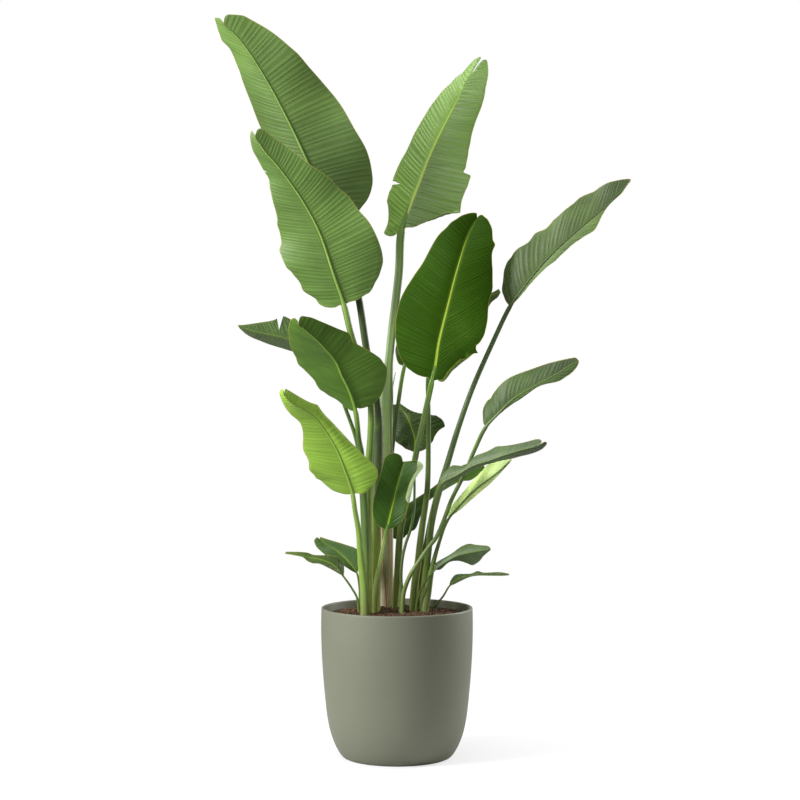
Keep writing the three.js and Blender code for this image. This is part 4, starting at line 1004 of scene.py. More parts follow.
def add_stalk(shell, leaf, path):
    """The stalk and its midrib as one closed tube, with the values that its finish reads."""
    steps = max(12, round(path.curve.length * leaf["reach"] / STALK_STEP))
    share = np.linspace(0, leaf["reach"], steps)
    up = path.up(share)
    around = np.linspace(-180, 180, STALK_SIDES, endpoint=False)
    rings = stalk_section(leaf, path, share, around[None, :])
    start, end = path.place(share[[0]]), rings[-1].mean(axis=0)[None]
    points = np.concatenate([start, rings.reshape(-1, 3), end])
    seam = seam_angle(leaf, up)[:, None]
    # inside marks the channel between the sheath's edges low on the stalk, which the finish paints
    # darker as painted shade
    inside = smooth(6, -6, np.abs(around)[None, :] - seam) * smooth(1.0, 0.7, up)[:, None]

    def spread(grid):
        full = np.broadcast_to(grid, (steps, STALK_SIDES)).ravel()
        return np.concatenate([full[:1], full, full[-1:]])

    turn = np.radians(around)[None, :]
    shell.add(
        points, tube_faces(steps, STALK_SIDES), 1, up=spread(up[:, None]), inside=spread(inside),
        run=spread((share * path.curve.length)[:, None]),
        round_x=spread(np.cos(turn)), round_y=spread(np.sin(turn)),
    )


# ---- a leaf's blade ----
# A half blade spreads between the midrib and its margin as seen from the front. Across it the
# section's slope away from the viewer turns from the first angle at the midrib to the second at the
# margin, and on through a curl's turn where the margin folds over. The section is as wide as
# reaches the seen margin.
class HalfBlade:
    """One side of a blade: seen() gives its points for s along the leaf and t across the half."""

    def __init__(self, path, half):
        foot = path.rib(0)[[0, 2]]
        self.path = path
        self.half = half
        self.edge = SmoothCurve([foot, *(np.array(half["edge"]) * MM)])
        self.fan = half["fan"]

    def angles(self, s):
        """The section's slopes at the midrib and at the margin."""
        stations = np.array(self.half["turn"], float)
        position = np.minimum(s, 0.9999) * (len(stations) - 1)
        index = position.astype(int)
        blend = smooth(0, 1, position - index)[:, None]
        pair = stations[index] + (stations[index + 1] - stations[index]) * blend
        pair[:, 1] += self.half["wave"] * np.sin(2 * math.pi * self.half["waves"] * s)
        return np.radians(pair)

    def slopes(self, s, t):
        """How far the section turns away from the viewer at shares of the leaf and of its width."""
        first, second = (column[:, None] for column in self.angles(s).T)
        slope = first + (second - first) * t
        if "curl" in self.half:
            start, end, fold, turn, fade = self.half["curl"]
            held = smooth(start - fade, start + fade, s) - smooth(end - fade, end + fade, s)
            slope = slope + held[:, None] * math.radians(turn) * smooth(fold, (1 + fold) / 2, t)
        return slope

    def section(self, s, t):
        """How far out and back the section is at shares t of its width, and its whole reach."""
        slope = self.slopes(s, (np.arange(SECTION_STEPS) + 0.5) / SECTION_STEPS)
        none = np.zeros((len(s), 1))
        out = np.concatenate([none, np.cumsum(np.cos(slope), axis=1)], axis=1) / SECTION_STEPS
        back = np.concatenate([none, np.cumsum(np.sin(slope), axis=1)], axis=1) / SECTION_STEPS
        below = np.minimum((t * SECTION_STEPS).astype(int), SECTION_STEPS - 1)
        part = t * SECTION_STEPS - below
        at = [held[:, below] * (1 - part) + held[:, below + 1] * part for held in (out, back)]
        return *at, out.max(axis=1)[:, None]

    def margin(self, s):
        return self.edge.at(self.fan + (1 - self.fan) * s)

    def veins(self, s, seen):
        """How far up the midrib, in metres, the side vein through each seen point starts."""
        flat = seen[..., [0, 2]]
        rib = self.path.rib(s)[:, None, [0, 2]]
        ahead = self.path.rib(np.minimum(s + SMALL_STEP, 1))
        ahead = ahead - self.path.rib(np.maximum(s - SMALL_STEP, 0))
        ahead = unit(ahead[:, None, [0, 2]])
        gap = flat - rib
        along = (gap * ahead).sum(axis=-1)
        aside = np.abs(gap[..., 0] * ahead[..., 1] - gap[..., 1] * ahead[..., 0])
        lean = self.half["veins"]
        curl = VEIN_CURL[0] + VEIN_CURL[1] * aside / np.maximum(aside[:, -1:], 20 * MM)
        start = np.broadcast_to(s[:, None] * self.path.rib_length, aside.shape)
        for _ in range(3):
            share = np.clip(start / self.path.rib_length, 0, 1)
            angle = np.radians(np.interp(share, np.linspace(0, 1, len(lean)), lean))
            start = s[:, None] * self.path.rib_length + along - aside * curl / np.tan(angle)
        return start

    def seen(self, s, t, shift):
        """The half's points as seen from the front, moved along the margin by shift at a tear."""
        out, back, reach = self.section(s, t)
        q = (out / reach)[..., None]
        row = s[:, None, None]
        rib = self.path.rib(s)
        ribbed = rib[:, None, [0, 2]]
        edge = self.margin(s)[:, None]
        foot, corner = self.path.rib(0)[[0, 2]], self.margin(0)
        base = self.edge.at(self.fan * q[..., 0])
        flat = (base - foot * (1 - q) - corner * q) * (1 - row) + ribbed * (1 - q) + edge * q
        ahead = self.margin(np.minimum(s + SMALL_STEP, 1))
        ahead = ahead - self.margin(np.maximum(s - SMALL_STEP, 0))
        flat = flat + unit(ahead)[:, None] * shift[..., None]
        width = np.linalg.norm(edge - ribbed, axis=-1) / reach
        depth = rib[:, None, 1] + width * back
        return np.stack([flat[..., 0], depth, flat[..., 1]], axis=-1)


def row_shares(leaf, path):
    """Even shares of the midrib, a few to a pleat, with one row on every tear."""
    step = leaf["pleat"][0] * MM / ROWS_A_PLEAT
    s = np.linspace(0, 1, round(path.rib_length / step) + 1)
    for side in ("left", "right"):
        for row, *_ in leaf[side]["tears"]:
            share = row / leaf["rows"]
            s[np.argmin(np.abs(s - share))] = share
    return s


def column_shares(leaf, path, side):
    """Shares of a half's width: the closer the steeper its veins lie, and close where it curls."""
    edges = [HalfBlade(path, leaf[name]).margin(WIDEST_AT) for name in ("left", "right")]
    widest = max(np.linalg.norm(edge - path.rib(WIDEST_AT)[[0, 2]]) for edge in edges)
    lean = math.radians(min(np.mean(leaf[side]["veins"]), STEEPEST_VEIN))
    step = np.clip(leaf["pleat"][0] * MM * math.tan(lean) * PLEAT_SHARE, *COLUMN_STEPS)
    columns = [FIXED_COLUMNS, np.linspace(*INNER_COLUMNS, max(8, round(widest / step)))]
    if "curl" in leaf[side]:
        columns.append(np.linspace(leaf[side]["curl"][2], 1, CURL_COLUMNS))
    return np.unique(np.concatenate(columns))


def blade_sheet(leaf, path, side):
    """One half's rows, its points below and above its tears, its veins and its open rows."""
    half = HalfBlade(path, leaf[side])
    s, t = row_shares(leaf, path), column_shares(leaf, path, side)
    opening = np.zeros((len(s), len(t)))
    torn = {}
    for row, end, gap in leaf[side]["tears"]:
        share = row / leaf["rows"]
        near = np.clip(1 - np.abs(s - share) * leaf["rows"], 0, 1)[:, None]
        along = np.clip((t - end) / (1 - end), 0, 1)[None, :]
        opening += np.sign(s - share)[:, None] * near**1.6 * along * gap / 2 * MM
        torn[int(np.argmin(np.abs(s - share)))] = (along[0], gap / 2 * MM)
    lower_shift, upper_shift = opening.copy(), opening.copy()
    for row, (along, gap) in torn.items():
        lower_shift[row] = -along * gap
        upper_shift[row] = along * gap
    lower = half.seen(s, t, lower_shift)
    upper = half.seen(s, t, upper_shift)
    veins = half.veins(s, half.seen(s, t, np.zeros_like(opening)))
    open_rows = {row: along > 0 for row, (along, _) in torn.items()}
    return s, sight(lower), sight(upper), veins, open_rows


def pleat_beat(veins, spacing, seed):
    """Counts the pleats along the midrib, a little unevenly: a crest lies at each whole number."""
    even = veins / spacing
    beat = even
    for amount, pace, start in PLEAT_DRIFT:
        beat = beat + amount * np.sin(pace * even + start * seed)
    return beat


def pleat_room(beat, points, spacing):
    """1 where the pleats lie well apart, 0 where they crowd: to the eye, and for the mesh."""
    crowd, coarse = np.zeros_like(beat), np.zeros_like(beat)
    for axis in (0, 1):
        step = np.abs(np.gradient(beat, axis=axis))
        length = np.linalg.norm(np.gradient(points, axis=axis), axis=-1)
        crowd = np.maximum(crowd, step / np.maximum(length, 0.2 * MM) * spacing)
        coarse = np.maximum(coarse, step)
    calm = smooth(*PLEATS_CROWD, crowd)
    return calm, calm * smooth(*PLEATS_COARSE, coarse)


def fold(beat, across, margin, firm):
    """1 on a pleat's sharp crest, -1 in its furrow, dying out at the midrib and the margin."""
    crest = 1 - 2 * np.abs(np.sin(math.pi * beat)) ** CREST_POWER
    strength = CREST_STRENGTH + CREST_CHANGE * np.cos(math.pi * beat)
    fade = MARGIN_SHARE + (1 - MARGIN_SHARE) * smooth(0, MARGIN_FADE, margin)
    return crest * strength * smooth(*CREST_RISE, across) * fade * firm


def half_values(leaf, side, lower, veins, s, seed):
    """What the pleats and the finish read at each point of one half."""
    across = np.linalg.norm(lower - lower[:, :1], axis=-1)
    gaps = [lower - lower[:, -1:], lower - lower[:1], lower - lower[-1:]]
    margin = np.min([np.linalg.norm(gap, axis=-1) for gap in gaps], axis=0)
    margin[:, 0] = np.maximum(margin[:, 0], MM)
    spacing = leaf["pleat"][0] * MM
    beat = pleat_beat(veins, spacing, seed)
    calm, firm = pleat_room(beat, lower, spacing)
    # tone is painted light and shade: a half made lighter or darker where it is lit more or less
    # than the lamps give it
    tone = leaf[side]["tone"]
    tone = np.interp(s, np.linspace(0, 1, len(tone)), tone)
    return {
        "beat": beat, "calm": calm, "firm": firm, "across": across, "margin": margin,
        "s": np.broadcast_to(s[:, None], across.shape),
        "tone": np.broadcast_to(tone[:, None], across.shape),
    }


def joined_halves(leaf, path, seed):
    """Both halves as one sheet on their shared midrib: its points, its faces and their values."""
    points, faces, values = [], [], {}
    count = 0
    ribs = None
    for index, side in enumerate(("left", "right")):
        s, lower, upper, veins, torn = blade_sheet(leaf, path, side)
        fields = half_values(leaf, side, lower, veins, s, seed + 1.7 * index)
        rows, columns = lower.shape[:2]
        skip = 0 if ribs is None else 1
        grid = np.arange(rows * (columns - skip)).reshape(rows, columns - skip) + count
        below = grid if ribs is None else np.concatenate([ribs[:, None], grid], axis=1)
        ribs = below[:, 0]
        count += grid.size
        points.append(lower[:, skip:].reshape(-1, 3))
        for name, field in fields.items():
            values.setdefault(name, []).append(field[:, skip:].ravel())
        above = below.copy()
        for row, open_at in torn.items():
            extra = np.flatnonzero(open_at)
            above[row, extra] = count + np.arange(len(extra))
            count += len(extra)
            points.append(upper[row, extra])
            for name, field in fields.items():
                values[name].append(field[row, extra])
        corners = [above[:-1, :-1], above[:-1, 1:], below[1:, 1:], below[1:, :-1]]
        sheet = np.stack(corners, axis=-1).reshape(-1, 4)
        faces.append(sheet if side == "left" else sheet[:, ::-1])
    values = {name: np.concatenate(held) for name, held in values.items()}
    return np.concatenate(points), np.concatenate(faces), values


def add_blade(shell, leaf, path, settings, seed):
    """The blade, folded into pleats, given its thickness and closed at the rim."""
    points, faces, values = joined_halves(leaf, path, seed)
    towards_underside = -1 if leaf["underside"] == "front" else 1
    height = fold(values["beat"], values["across"], values["margin"], values.pop("firm"))
    height = height * leaf["pleat"][1] * MM
    points = points + sheet_normals(points, faces) * (towards_underside * height)[:, None]
    close_sheet(shell, points, faces, values, settings)


def sheet_normals(points, faces):
    """The sheet's directions at its points, larger faces counting for more."""
    a, b, c, d = (points[faces[:, corner]] for corner in range(4))
    flat = np.cross(c - a, d - b)
    normals = np.zeros_like(points)
    for corner in range(4):
        np.add.at(normals, faces[:, corner], flat)
    return unit(normals)


def close_sheet(shell, points, faces, values, settings):
    """Makes the sheet a thin closed body: its front, its back and the rim between them."""
    taper = smooth(0, MARGIN_TAPER, values["margin"])
    thin, thick = settings.margin_thickness, settings.thickness
    half = (thin + (thick - thin) * taper) / 2
    offset = sheet_normals(points, faces) * half[:, None]
    count = len(points)
    sides = np.concatenate([faces[:, [k, (k + 1) % 4]] for k in range(4)])
    known = {(a, b) for a, b in sides.tolist()}
    rim = [(a, b) for a, b in known if (b, a) not in known]
    skin = [*faces.tolist(), *(faces[:, ::-1] + count).tolist()]
    skin += [(b, a, a + count, b + count) for a, b in sorted(rim)]
    both = {name: np.tile(held, 2) for name, held in values.items()}
    both["front"] = np.repeat([0.0, 1.0], count)
    shell.add(np.concatenate([points + offset, points - offset]), skin, 0, **both)


# ---- materials ----
class Shade:
    """A number or colour in a material's tree: an expression on it adds its Math nodes."""

    def __init__(self, finish, socket):
        self.finish = finish
        self.socket = socket

    def __add__(self, other):
        return self.finish.maths("ADD", self, other)

    def __sub__(self, other):
        return self.finish.maths("SUBTRACT", self, other)

    def __rsub__(self, other):
        return self.finish.maths("SUBTRACT", other, self)

    def __mul__(self, other):
        return self.finish.maths("MULTIPLY", self, other)

    def __truediv__(self, other):
        return self.finish.maths("DIVIDE", self, other)

    __radd__ = __add__
    __rmul__ = __mul__

    def step(self, low, high):
        """Rises smoothly from 0 at low to 1 at high, or falls where low is the larger."""
        ends = {"Value": self, "From Min": low, "From Max": high}
        return self.finish.node("ShaderNodeMapRange", {"interpolation_type": "SMOOTHSTEP"}, ends)


class Finish:
    """One material's tree. node() adds any node; the rest are short ways to the common ones."""

    def __init__(self, name):
        self.material = bpy.data.materials.new(name)
        self.material.use_nodes = True
        self.tree = self.material.node_tree
        self.tree.nodes.clear()

    def node(self, kind, settings=None, inputs=None, output=0):
        made = self.tree.nodes.new(kind)
        for name, value in (settings or {}).items():
            setattr(made, name, value)
        for name, value in (inputs or {}).items():
            socket = made.inputs[name]
            if isinstance(value, Shade):
                self.tree.links.new(value.socket, socket)
            else:
                socket.default_value = (*value, 1.0) if socket.type == "RGBA" else value
        return Shade(self, made.outputs[output]) if made.outputs else None

    def maths(self, operation, first, second=0.0):
        return self.node("ShaderNodeMath", {"operation": operation}, {0: first, 1: second})

    def mix(self, factor, first, second):
        colours = {0: factor, 6: first, 7: second}
        return self.node("ShaderNodeMix", {"data_type": "RGBA"}, colours, 2)

    def value(self, name):
        return self.node("ShaderNodeAttribute", {"attribute_name": name}, output="Fac")

    def place(self):
        return self.node("ShaderNodeTexCoord", output="Object")

    def vector(self, x, y, z):
        return self.node("ShaderNodeCombineXYZ", inputs={"X": x, "Y": y, "Z": z})

    def parts(self, vector):
        split = self.node("ShaderNodeSeparateXYZ", inputs={"Vector": vector})
        return [Shade(self, socket) for socket in split.socket.node.outputs]

    def noise(self, vector, scale, detail=2.0, rough=0.5):
        inputs = {"Vector": vector, "Scale": scale, "Detail": detail, "Roughness": rough}
        return self.node("ShaderNodeTexNoise", inputs=inputs)

    def tone(self, colour, amount):
        """The colour made lighter or darker: an amount of 1 leaves it."""
        return self.node("ShaderNodeHueSaturation", inputs={"Color": colour, "Value": amount})

    def bump(self, height, distance, strength=1.0):
        inputs = {"Height": height, "Distance": distance, "Strength": strength}
        return self.node("ShaderNodeBump", inputs=inputs, output="Normal")

    def surface(self, **inputs):
        named = {}
        for name, value in inputs.items():
            named[name.replace("_", " ").title().replace("Ior", "IOR")] = value
        shader = self.node("ShaderNodeBsdfPrincipled", inputs=named)
        self.node("ShaderNodeOutputMaterial", inputs={"Surface": shader})
        return self.material


def varied(value, *noises):
    """The value moved by each noise about its middle, as far as the noise's amount says."""
    for noise, amount in noises:
        value = value + (noise - 0.5) * amount
    return value


def blade_finish(name, leaf, settings):
    """Pleated leaf: glossy above, satin below, with side veins, a pale midrib and a thin margin,
    its pleats' crests painted lighter and furrows darker as painted light and shade
    """
    f = Finish(f"{name}_blade")
    beat, across, margin = f.value("beat"), f.value("across"), f.value("margin")
    s, front, calm = f.value("s"), f.value("front"), f.value("calm")
    upper = front if leaf["underside"] == "back" else 1 - front
    crest = 1 - 2 * f.maths("ABSOLUTE", f.maths("SINE", beat * math.pi))
    strength = CREST_STRENGTH + CREST_CHANGE * f.maths("COSINE", beat * math.pi)
    fade = MARGIN_SHARE + (1 - MARGIN_SHARE) * margin.step(0.0, MARGIN_FADE)
    # ridge is 1 on a crest and -1 in a furrow: it shapes the bump, and it also paints the crests
    # lighter and the furrows darker, painted light and shade on the pleats
    ridge = crest * strength * (across.step(*CREST_RISE) * fade) * calm * (1 - 2 * upper)
    fine_veins = beat * settings.fine_veins * leaf["fine"]
    streaks = f.noise(f.vector(fine_veins, across / (70 * MM), front), 1.0, 1.0, 0.5)
    broad = f.noise(f.vector(beat * 0.45, across / (120 * MM), front), 1.0, 1.0)
    mottle = f.noise(f.place(), 9.0, 3.0)
    colour = f.mix(upper, leaf["under"], leaf["upper"])
    warm = f.mix(upper, settings.under_warm, settings.upper_warm)
    colour = f.mix(mottle.step(0.42, 0.75) * 0.25, colour, warm)
    amount = varied(1, (streaks, 0.2 + 0.22 * calm), (broad, 0.35), (mottle, 0.3))
    # painted light and shade: the pleats' crests a little lighter and their furrows darker, and
    # each half lighter or darker by its tone
    colour = f.tone(colour, (amount + ridge * 0.08) * f.value("tone"))
    halo = across.step(7 * MM, 2 * MM) * 0.12
    rib_width = leaf["rib_width"] * MM * (1 - 0.85 * s)
    rib = (across / rib_width).step(1.12, 0.88) * s.step(leaf["rib_end"], leaf["rib_end"] - 0.2)
    rib_colour = f.mix(upper, leaf["rib_under"], leaf["rib_colour"])
    colour = f.mix(halo, colour, rib_colour)
    colour = f.mix(rib, colour, rib_colour)
    line = varied(margin, (streaks, 0.8 * MM)).step(1.4 * MM, 0.5 * MM)
    colour = f.mix(line * 0.75, colour, settings.margin_colour)
    dry = varied(s, (mottle, 0.02)).step(0.985, 0.999)
    colour = f.mix(dry * 0.6, colour, settings.dry_colour)
    speck = f.noise(f.place(), 160.0, 1.0).step(0.76, 0.8) * mottle.step(0.5, 0.62)
    colour = f.mix(speck * 0.4, colour, settings.dry_colour)
    satin, glossy = settings.under_roughness, settings.upper_roughness
    rough = satin + (glossy - satin) * upper
    fine = f.noise(f.place(), 240.0, 1.0)
    height = ridge * 0.5 + streaks * (0.02 + 0.33 * calm) + fine * 0.025
    return f.surface(
        base_color=colour, roughness=varied(rough, (streaks, 0.14), (mottle, 0.1)),
        normal=f.bump(height, 0.6 * MM, 0.7), specular_ior_level=leaf["specular"],
    )


def stalk_finish(name, leaf, settings):
    """Ribbed stalk: olive at the soil, grey-green above, and the rib's colour from the blade on,
    with a painted highlight on the rib's left side and painted shade in the sheath's channel
    """
    f = Finish(f"{name}_stalk")
    up, run, inside = f.value("up"), f.value("run"), f.value("inside")
    around_x, around_y = f.value("round_x"), f.value("round_y")
    fibre = f.noise(f.vector(around_x * 2.5, around_y * 2.5, run / (200 * MM)), 1.0, 2.0, 0.5)
    patch = f.noise(f.vector(around_x * 1.1, around_y * 1.1, run / (35 * MM)), 1.0, 2.0)
    # a painted highlight: the rib's left side on the stalk is painted lighter, where the key light
    # catches the keel, and the rest keeps the rib's darker colour
    rib_painted_highlight = leaf.get("rib_painted_highlight", leaf["rib_under"])
    rib_colour = f.mix(around_x.step(-0.5, -0.85), leaf["rib_under"], rib_painted_highlight)
    base_colour = leaf.get("base_colour", settings.base_colour)
    low = varied(up, (patch, 0.06)).step(0.08, 0.42)
    colour = f.mix(low, base_colour, leaf["stalk_colour"])
    colour = f.mix(up.step(0.86, 1.0), colour, rib_colour)
    fresh = patch.step(0.5, 0.75) * 0.45 * up.step(1.02, 0.9)
    colour = f.mix(fresh, colour, settings.stalk_fresh)
    # painted shade: the channel's inside, low on the stalk, is painted darker, where shade falls
    # into the sheath
    shaded = inside * up.step(0.6, 0.1)
    colour = f.mix(shaded * 0.55, colour, settings.sheath_painted_shade)
    colour = f.tone(colour, varied(1, (fibre, 0.55), (patch, 0.35)))
    return f.surface(
        base_color=colour, roughness=varied(0.46, (fibre, 0.2)),
        normal=f.bump(fibre, 0.6 * MM, 0.2), specular_ior_level=0.5,
    )


def edge_finish(settings):
    """The sheaths' thin edges: orange-brown where they are dry, and else yellow-green."""
    f = Finish("sheath_edges")
    dry = f.value("dry")
    blotch = f.noise(f.place(), 60.0, 2.0)
    colour = f.mix(dry, settings.petiole_edge, settings.sheath_edge)
    colour = f.tone(colour, 0.75 + blotch * 0.5)
    return f.surface(base_color=colour, roughness=0.55, normal=f.bump(blotch, 0.3 * MM))


def pot_finish(settings):
    """Matte sage-grey pot with a fine grain that runs round it."""
    f = Finish("pot_matte")
    x, y, z = f.parts(f.place())
    grain = f.noise(f.vector(x * 9, y * 9, z * 620), 1.0, 3.0, 0.7)
    bands = f.noise(f.vector(x * 2, y * 2, z * 120), 1.0, 2.0)
    cloud = f.noise(f.place(), 7.0, 3.0)
    speck = f.noise(f.place(), 420.0, 2.0)
    amount = varied(1, (grain, 0.1), (bands, 0.03), (cloud, 0.12), (speck, 0.08))
    colour = f.mix(z.step(POT_TOP - 4 * MM, POT_TOP) * 0.25, settings.colour, settings.lip_colour)
    colour = f.tone(colour, amount)
    height = grain * 0.6 + speck * 0.4
    return f.surface(
        base_color=colour, roughness=varied(settings.roughness, (grain, 0.12)),
        normal=f.bump(height, 0.25 * MM, 0.55), specular_ior_level=0.45,
    )


def soil_finish(name, settings, by_crumb):
    """Dark potting mix: peat between, red-brown bark crumbs."""
    f = Finish(name)
    coarse = f.noise(f.place(), 90.0, 4.0, 0.7)
    fine = f.noise(f.place(), 600.0, 3.0, 0.7)
    shade = f.value("crumb_shade") if by_crumb else coarse.step(0.3, 0.75)
    bark = f.mix(shade, settings.dark_colour, settings.light_colour)
    colour = f.tone(bark, 0.6 + fine * 0.8)
    return f.surface(
        base_color=colour, roughness=0.9, normal=f.bump(fine * 0.5 + coarse * 0.5, 1.2 * MM),
        specular_ior_level=0.3,
    )


def floor_finish(settings):
    """Smooth pale floor, evenly lit to the eye, which fades into the white around it."""
    f = Finish("studio_floor")
    x, y, _ = f.parts(f.place())
    cloud = f.noise(f.place(), 1.5, 2.0)
    colour = f.tone(settings.floor_colour, 0.995 + cloud * 0.01)
    plain = f.node("ShaderNodeBsdfDiffuse", inputs={"Color": colour})
    bright = f.node("ShaderNodeEmission", inputs={"Strength": settings.floor_light})
    clear = f.node("ShaderNodeBsdfTransparent")
    seen = f.node("ShaderNodeLightPath", output="Is Camera Ray")
    lifted = seen * settings.floor_glow
    shown = f.node("ShaderNodeMixShader", inputs={0: lifted, 1: plain, 2: bright})
    away = f.maths("SQRT", x * x + y * y)
    faded = f.node("ShaderNodeMixShader", inputs={0: away.step(0.35, 1.3), 1: shown, 2: clear})
    f.node("ShaderNodeOutputMaterial", inputs={"Surface": faded})
    return f.material


# ---- what a user would change ----
def colour_property(name, description, default):
    return bpy.props.FloatVectorProperty(
        name=name, description=description, default=default, size=3, subtype="COLOR", min=0, max=1
    )


def length_property(name, description, default):
    return bpy.props.FloatProperty(
        name=name, description=description, default=default, min=0, precision=4, unit="LENGTH"
    )


def amount_property(name, description, default):
    return bpy.props.FloatProperty(name=name, description=description, default=default, min=0)


def factor_property(name, description, default):
    return bpy.props.FloatProperty(
        name=name, description=description, default=default, min=0, max=1, subtype="FACTOR"
    )


class PotSettings(bpy.types.PropertyGroup):
    colour: colour_property("Colour", "The pot's matte sage grey", (0.15, 0.157, 0.11))
    lip_colour: colour_property("Lip colour", "The lip's lighter edge", (0.16, 0.165, 0.12))
    roughness: factor_property("Roughness", "How matte the pot is", 0.55)


class SoilSettings(bpy.types.PropertyGroup):
    dark_colour: colour_property("Peat", "The darkest crumbs", (0.022, 0.013, 0.008))
    light_colour: colour_property("Bark", "The lightest crumbs", (0.16, 0.085, 0.045))
    crumb_size: length_property("Crumb size", "Width of a middling crumb", 3.4 * MM)
    chip_size: length_property("Chip size", "Width of a middling bark chip", 7.5 * MM)
    unevenness: length_property("Unevenness", "Height of the soil's lumps", 3.2 * MM)
    crumbs: amount_property("Crumbs", "Crumbs on a square metre of soil", 62000)
    chips: amount_property("Chips", "Bark chips on a square metre of soil", 5500)
    seed: bpy.props.IntProperty(name="Seed", description="Places the crumbs", default=4)


class LeafSettings(bpy.types.PropertyGroup):
    thickness: length_property("Thickness", "Of the blade near its midrib", 1.0 * MM)
    margin_thickness: length_property("Margin thickness", "Of the blade at its margin", 0.5 * MM)
    fine_veins: amount_property("Fine veins", "Fine veins in a pleat", 4.0)
    upper_roughness: factor_property("Upper roughness", "Of the glossy upper side", 0.34)
    under_roughness: factor_property("Under roughness", "Of the satin underside", 0.52)
    upper_warm: colour_property("Upper patches", "Yellower patches above", (0.075, 0.16, 0.012))
    under_warm: colour_property("Under patches", "Yellower patches below", (0.16, 0.27, 0.05))
    margin_colour: colour_property("Margin", "The thin yellow margin line", (0.36, 0.3, 0.07))
    dry_colour: colour_property("Dry tips", "Dry tips and small specks", (0.26, 0.17, 0.06))
    base_colour: colour_property("Stalk base", "Stalks at the soil", (0.16, 0.21, 0.06))
    stalk_fresh: colour_property("Stalk patches", "Fresh streaks on stalks", (0.13, 0.22, 0.018))
    # painted shade inside the sheaths' channels, darker where shade falls into them
    sheath_painted_shade: colour_property("Sheath inside", "The channel's inside", (0.075, 0.1, 0.03))
    sheath_edge: colour_property("Sheath edge", "The sheaths' dry edges", (0.45, 0.19, 0.09))
    petiole_edge: colour_property("Stalk edge", "The stalks' yellow edges", (0.24, 0.3, 0.04))
    edge_width: length_property("Edge width", "Half width of the sheaths' edges", 0.75 * MM)


class StageSettings(bpy.types.PropertyGroup):
    floor_colour: colour_property("Floor", "The plain pale floor", (0.65, 0.65, 0.65))
    floor_glow: factor_property("Floor glow", "How much of the floor's shade is lifted", 0.5)
    floor_light: amount_property("Floor light", "Strength of the floor's own light", 1.3)
    key: amount_property("Key light", "Power, in watts", 120)
    rim: amount_property("Rim light", "Power, in watts", 70)
    top: amount_property("Top light", "Power, in watts", 40)
    front: amount_property("Front light", "Power, in watts", 1.2)
    ambient: amount_property("Ambient", "Strength of the light from all round", 0.3)


# ---- node trees that make the repeats ----
class Recipe:
    """A geometry node tree with named inputs, which ends in Realize Instances and Set Material."""

    def __init__(self, name, inputs):
        self.tree = bpy.data.node_groups.new(name, "GeometryNodeTree")
        shape = {"Geometry": "NodeSocketGeometry"}
        for way, sockets in (("INPUT", {**shape, **inputs}), ("OUTPUT", shape)):
            for label, kind in sockets.items():
                self.tree.interface.new_socket(label, in_out=way, socket_type=kind)
        self.given = self.tree.nodes.new("NodeGroupInput").outputs

    def node(self, kind, settings=None, inputs=None, output=0):
        made = self.tree.nodes.new(kind)
        for name, value in (settings or {}).items():
            setattr(made, name, value)
        for name, value in (inputs or {}).items():
            if isinstance(value, bpy.types.NodeSocket):
                self.tree.links.new(value, made.inputs[name])
            else:
                made.inputs[name].default_value = value
        return made.outputs[output]

    def finish(self, geometry):
        real = self.node("GeometryNodeRealizeInstances", inputs={"Geometry": geometry})
        material = {"Geometry": real, "Material": self.given["Material"]}
        made = self.node("GeometryNodeSetMaterial", inputs=material)
        self.tree.links.new(made, self.tree.nodes.new("NodeGroupOutput").inputs["Geometry"])

    def cook(self, base, name, **inputs):
        """Runs the tree on a base mesh and gives its result as a plain object; the base goes."""
        modifier = base.modifiers.new(name, "NODES")
        modifier.node_group = self.tree
        for item in self.tree.interface.items_tree:
            if item.in_out == "INPUT" and item.name in inputs:
                modifier[item.identifier] = inputs[item.name]
        base.update_tag()
        graph = bpy.context.evaluated_depsgraph_get()
        mesh = bpy.data.meshes.new_from_object(base.evaluated_get(graph), depsgraph=graph)
        mesh.name = name
        bpy.data.objects.remove(base)
        piece = bpy.data.objects.new(name, mesh)
        bpy.context.scene.collection.objects.link(piece)
        return piece


def crumb_recipe():
    """Scatters turned and stretched crumbs of one size over a surface, each with its own shade."""
    kinds = {
        "Density": "NodeSocketFloat", "Size": "NodeSocketFloat", "Seed": "NodeSocketInt",
        "Material": "NodeSocketMaterial",
    }
    r = Recipe("soil_crumbs", kinds)
    points = r.node("GeometryNodeDistributePointsOnFaces", inputs={
        "Mesh": r.given["Geometry"], "Density": r.given["Density"], "Seed": r.given["Seed"],
    })
    ball = r.node("GeometryNodeMeshIcoSphere", inputs={"Radius": 0.5, "Subdivisions": 1})
    lump = r.node("ShaderNodeTexNoise", inputs={"Scale": 1.9, "Detail": 1.0}, output="Color")
    shift = r.node("ShaderNodeVectorMath", {"operation": "SUBTRACT"}, {0: lump, 1: (0.5, 0.5, 0.5)})
    ball = r.node("GeometryNodeSetPosition", inputs={"Geometry": ball, "Offset": shift})
    turn = r.node("FunctionNodeRandomValue", {"data_type": "FLOAT_VECTOR"}, {
        "Min": (0.0, 0.0, 0.0), "Max": (math.tau, math.tau, math.tau), "Seed": r.given["Seed"],
    })
    stretch = r.node("FunctionNodeRandomValue", {"data_type": "FLOAT_VECTOR"}, {
        "Min": (0.35, 0.45, 0.3), "Max": (1.5, 1.2, 0.9), "Seed": r.given["Seed"],
    })
    scaled = {0: stretch, "Scale": r.given["Size"]}
    size = r.node("ShaderNodeVectorMath", {"operation": "SCALE"}, scaled)
    placed = r.node("GeometryNodeInstanceOnPoints", inputs={
        "Points": points, "Instance": ball, "Rotation": turn, "Scale": size,
    })
    shade = r.node("FunctionNodeRandomValue", {"data_type": "FLOAT"}, {"Seed": r.given["Seed"]}, 1)
    kept = r.node("GeometryNodeStoreNamedAttribute", {"data_type": "FLOAT", "domain": "INSTANCE"}, {
        "Geometry": placed, "Name": "crumb_shade", "Value": shade,
    })
    r.finish(kept)
    return r


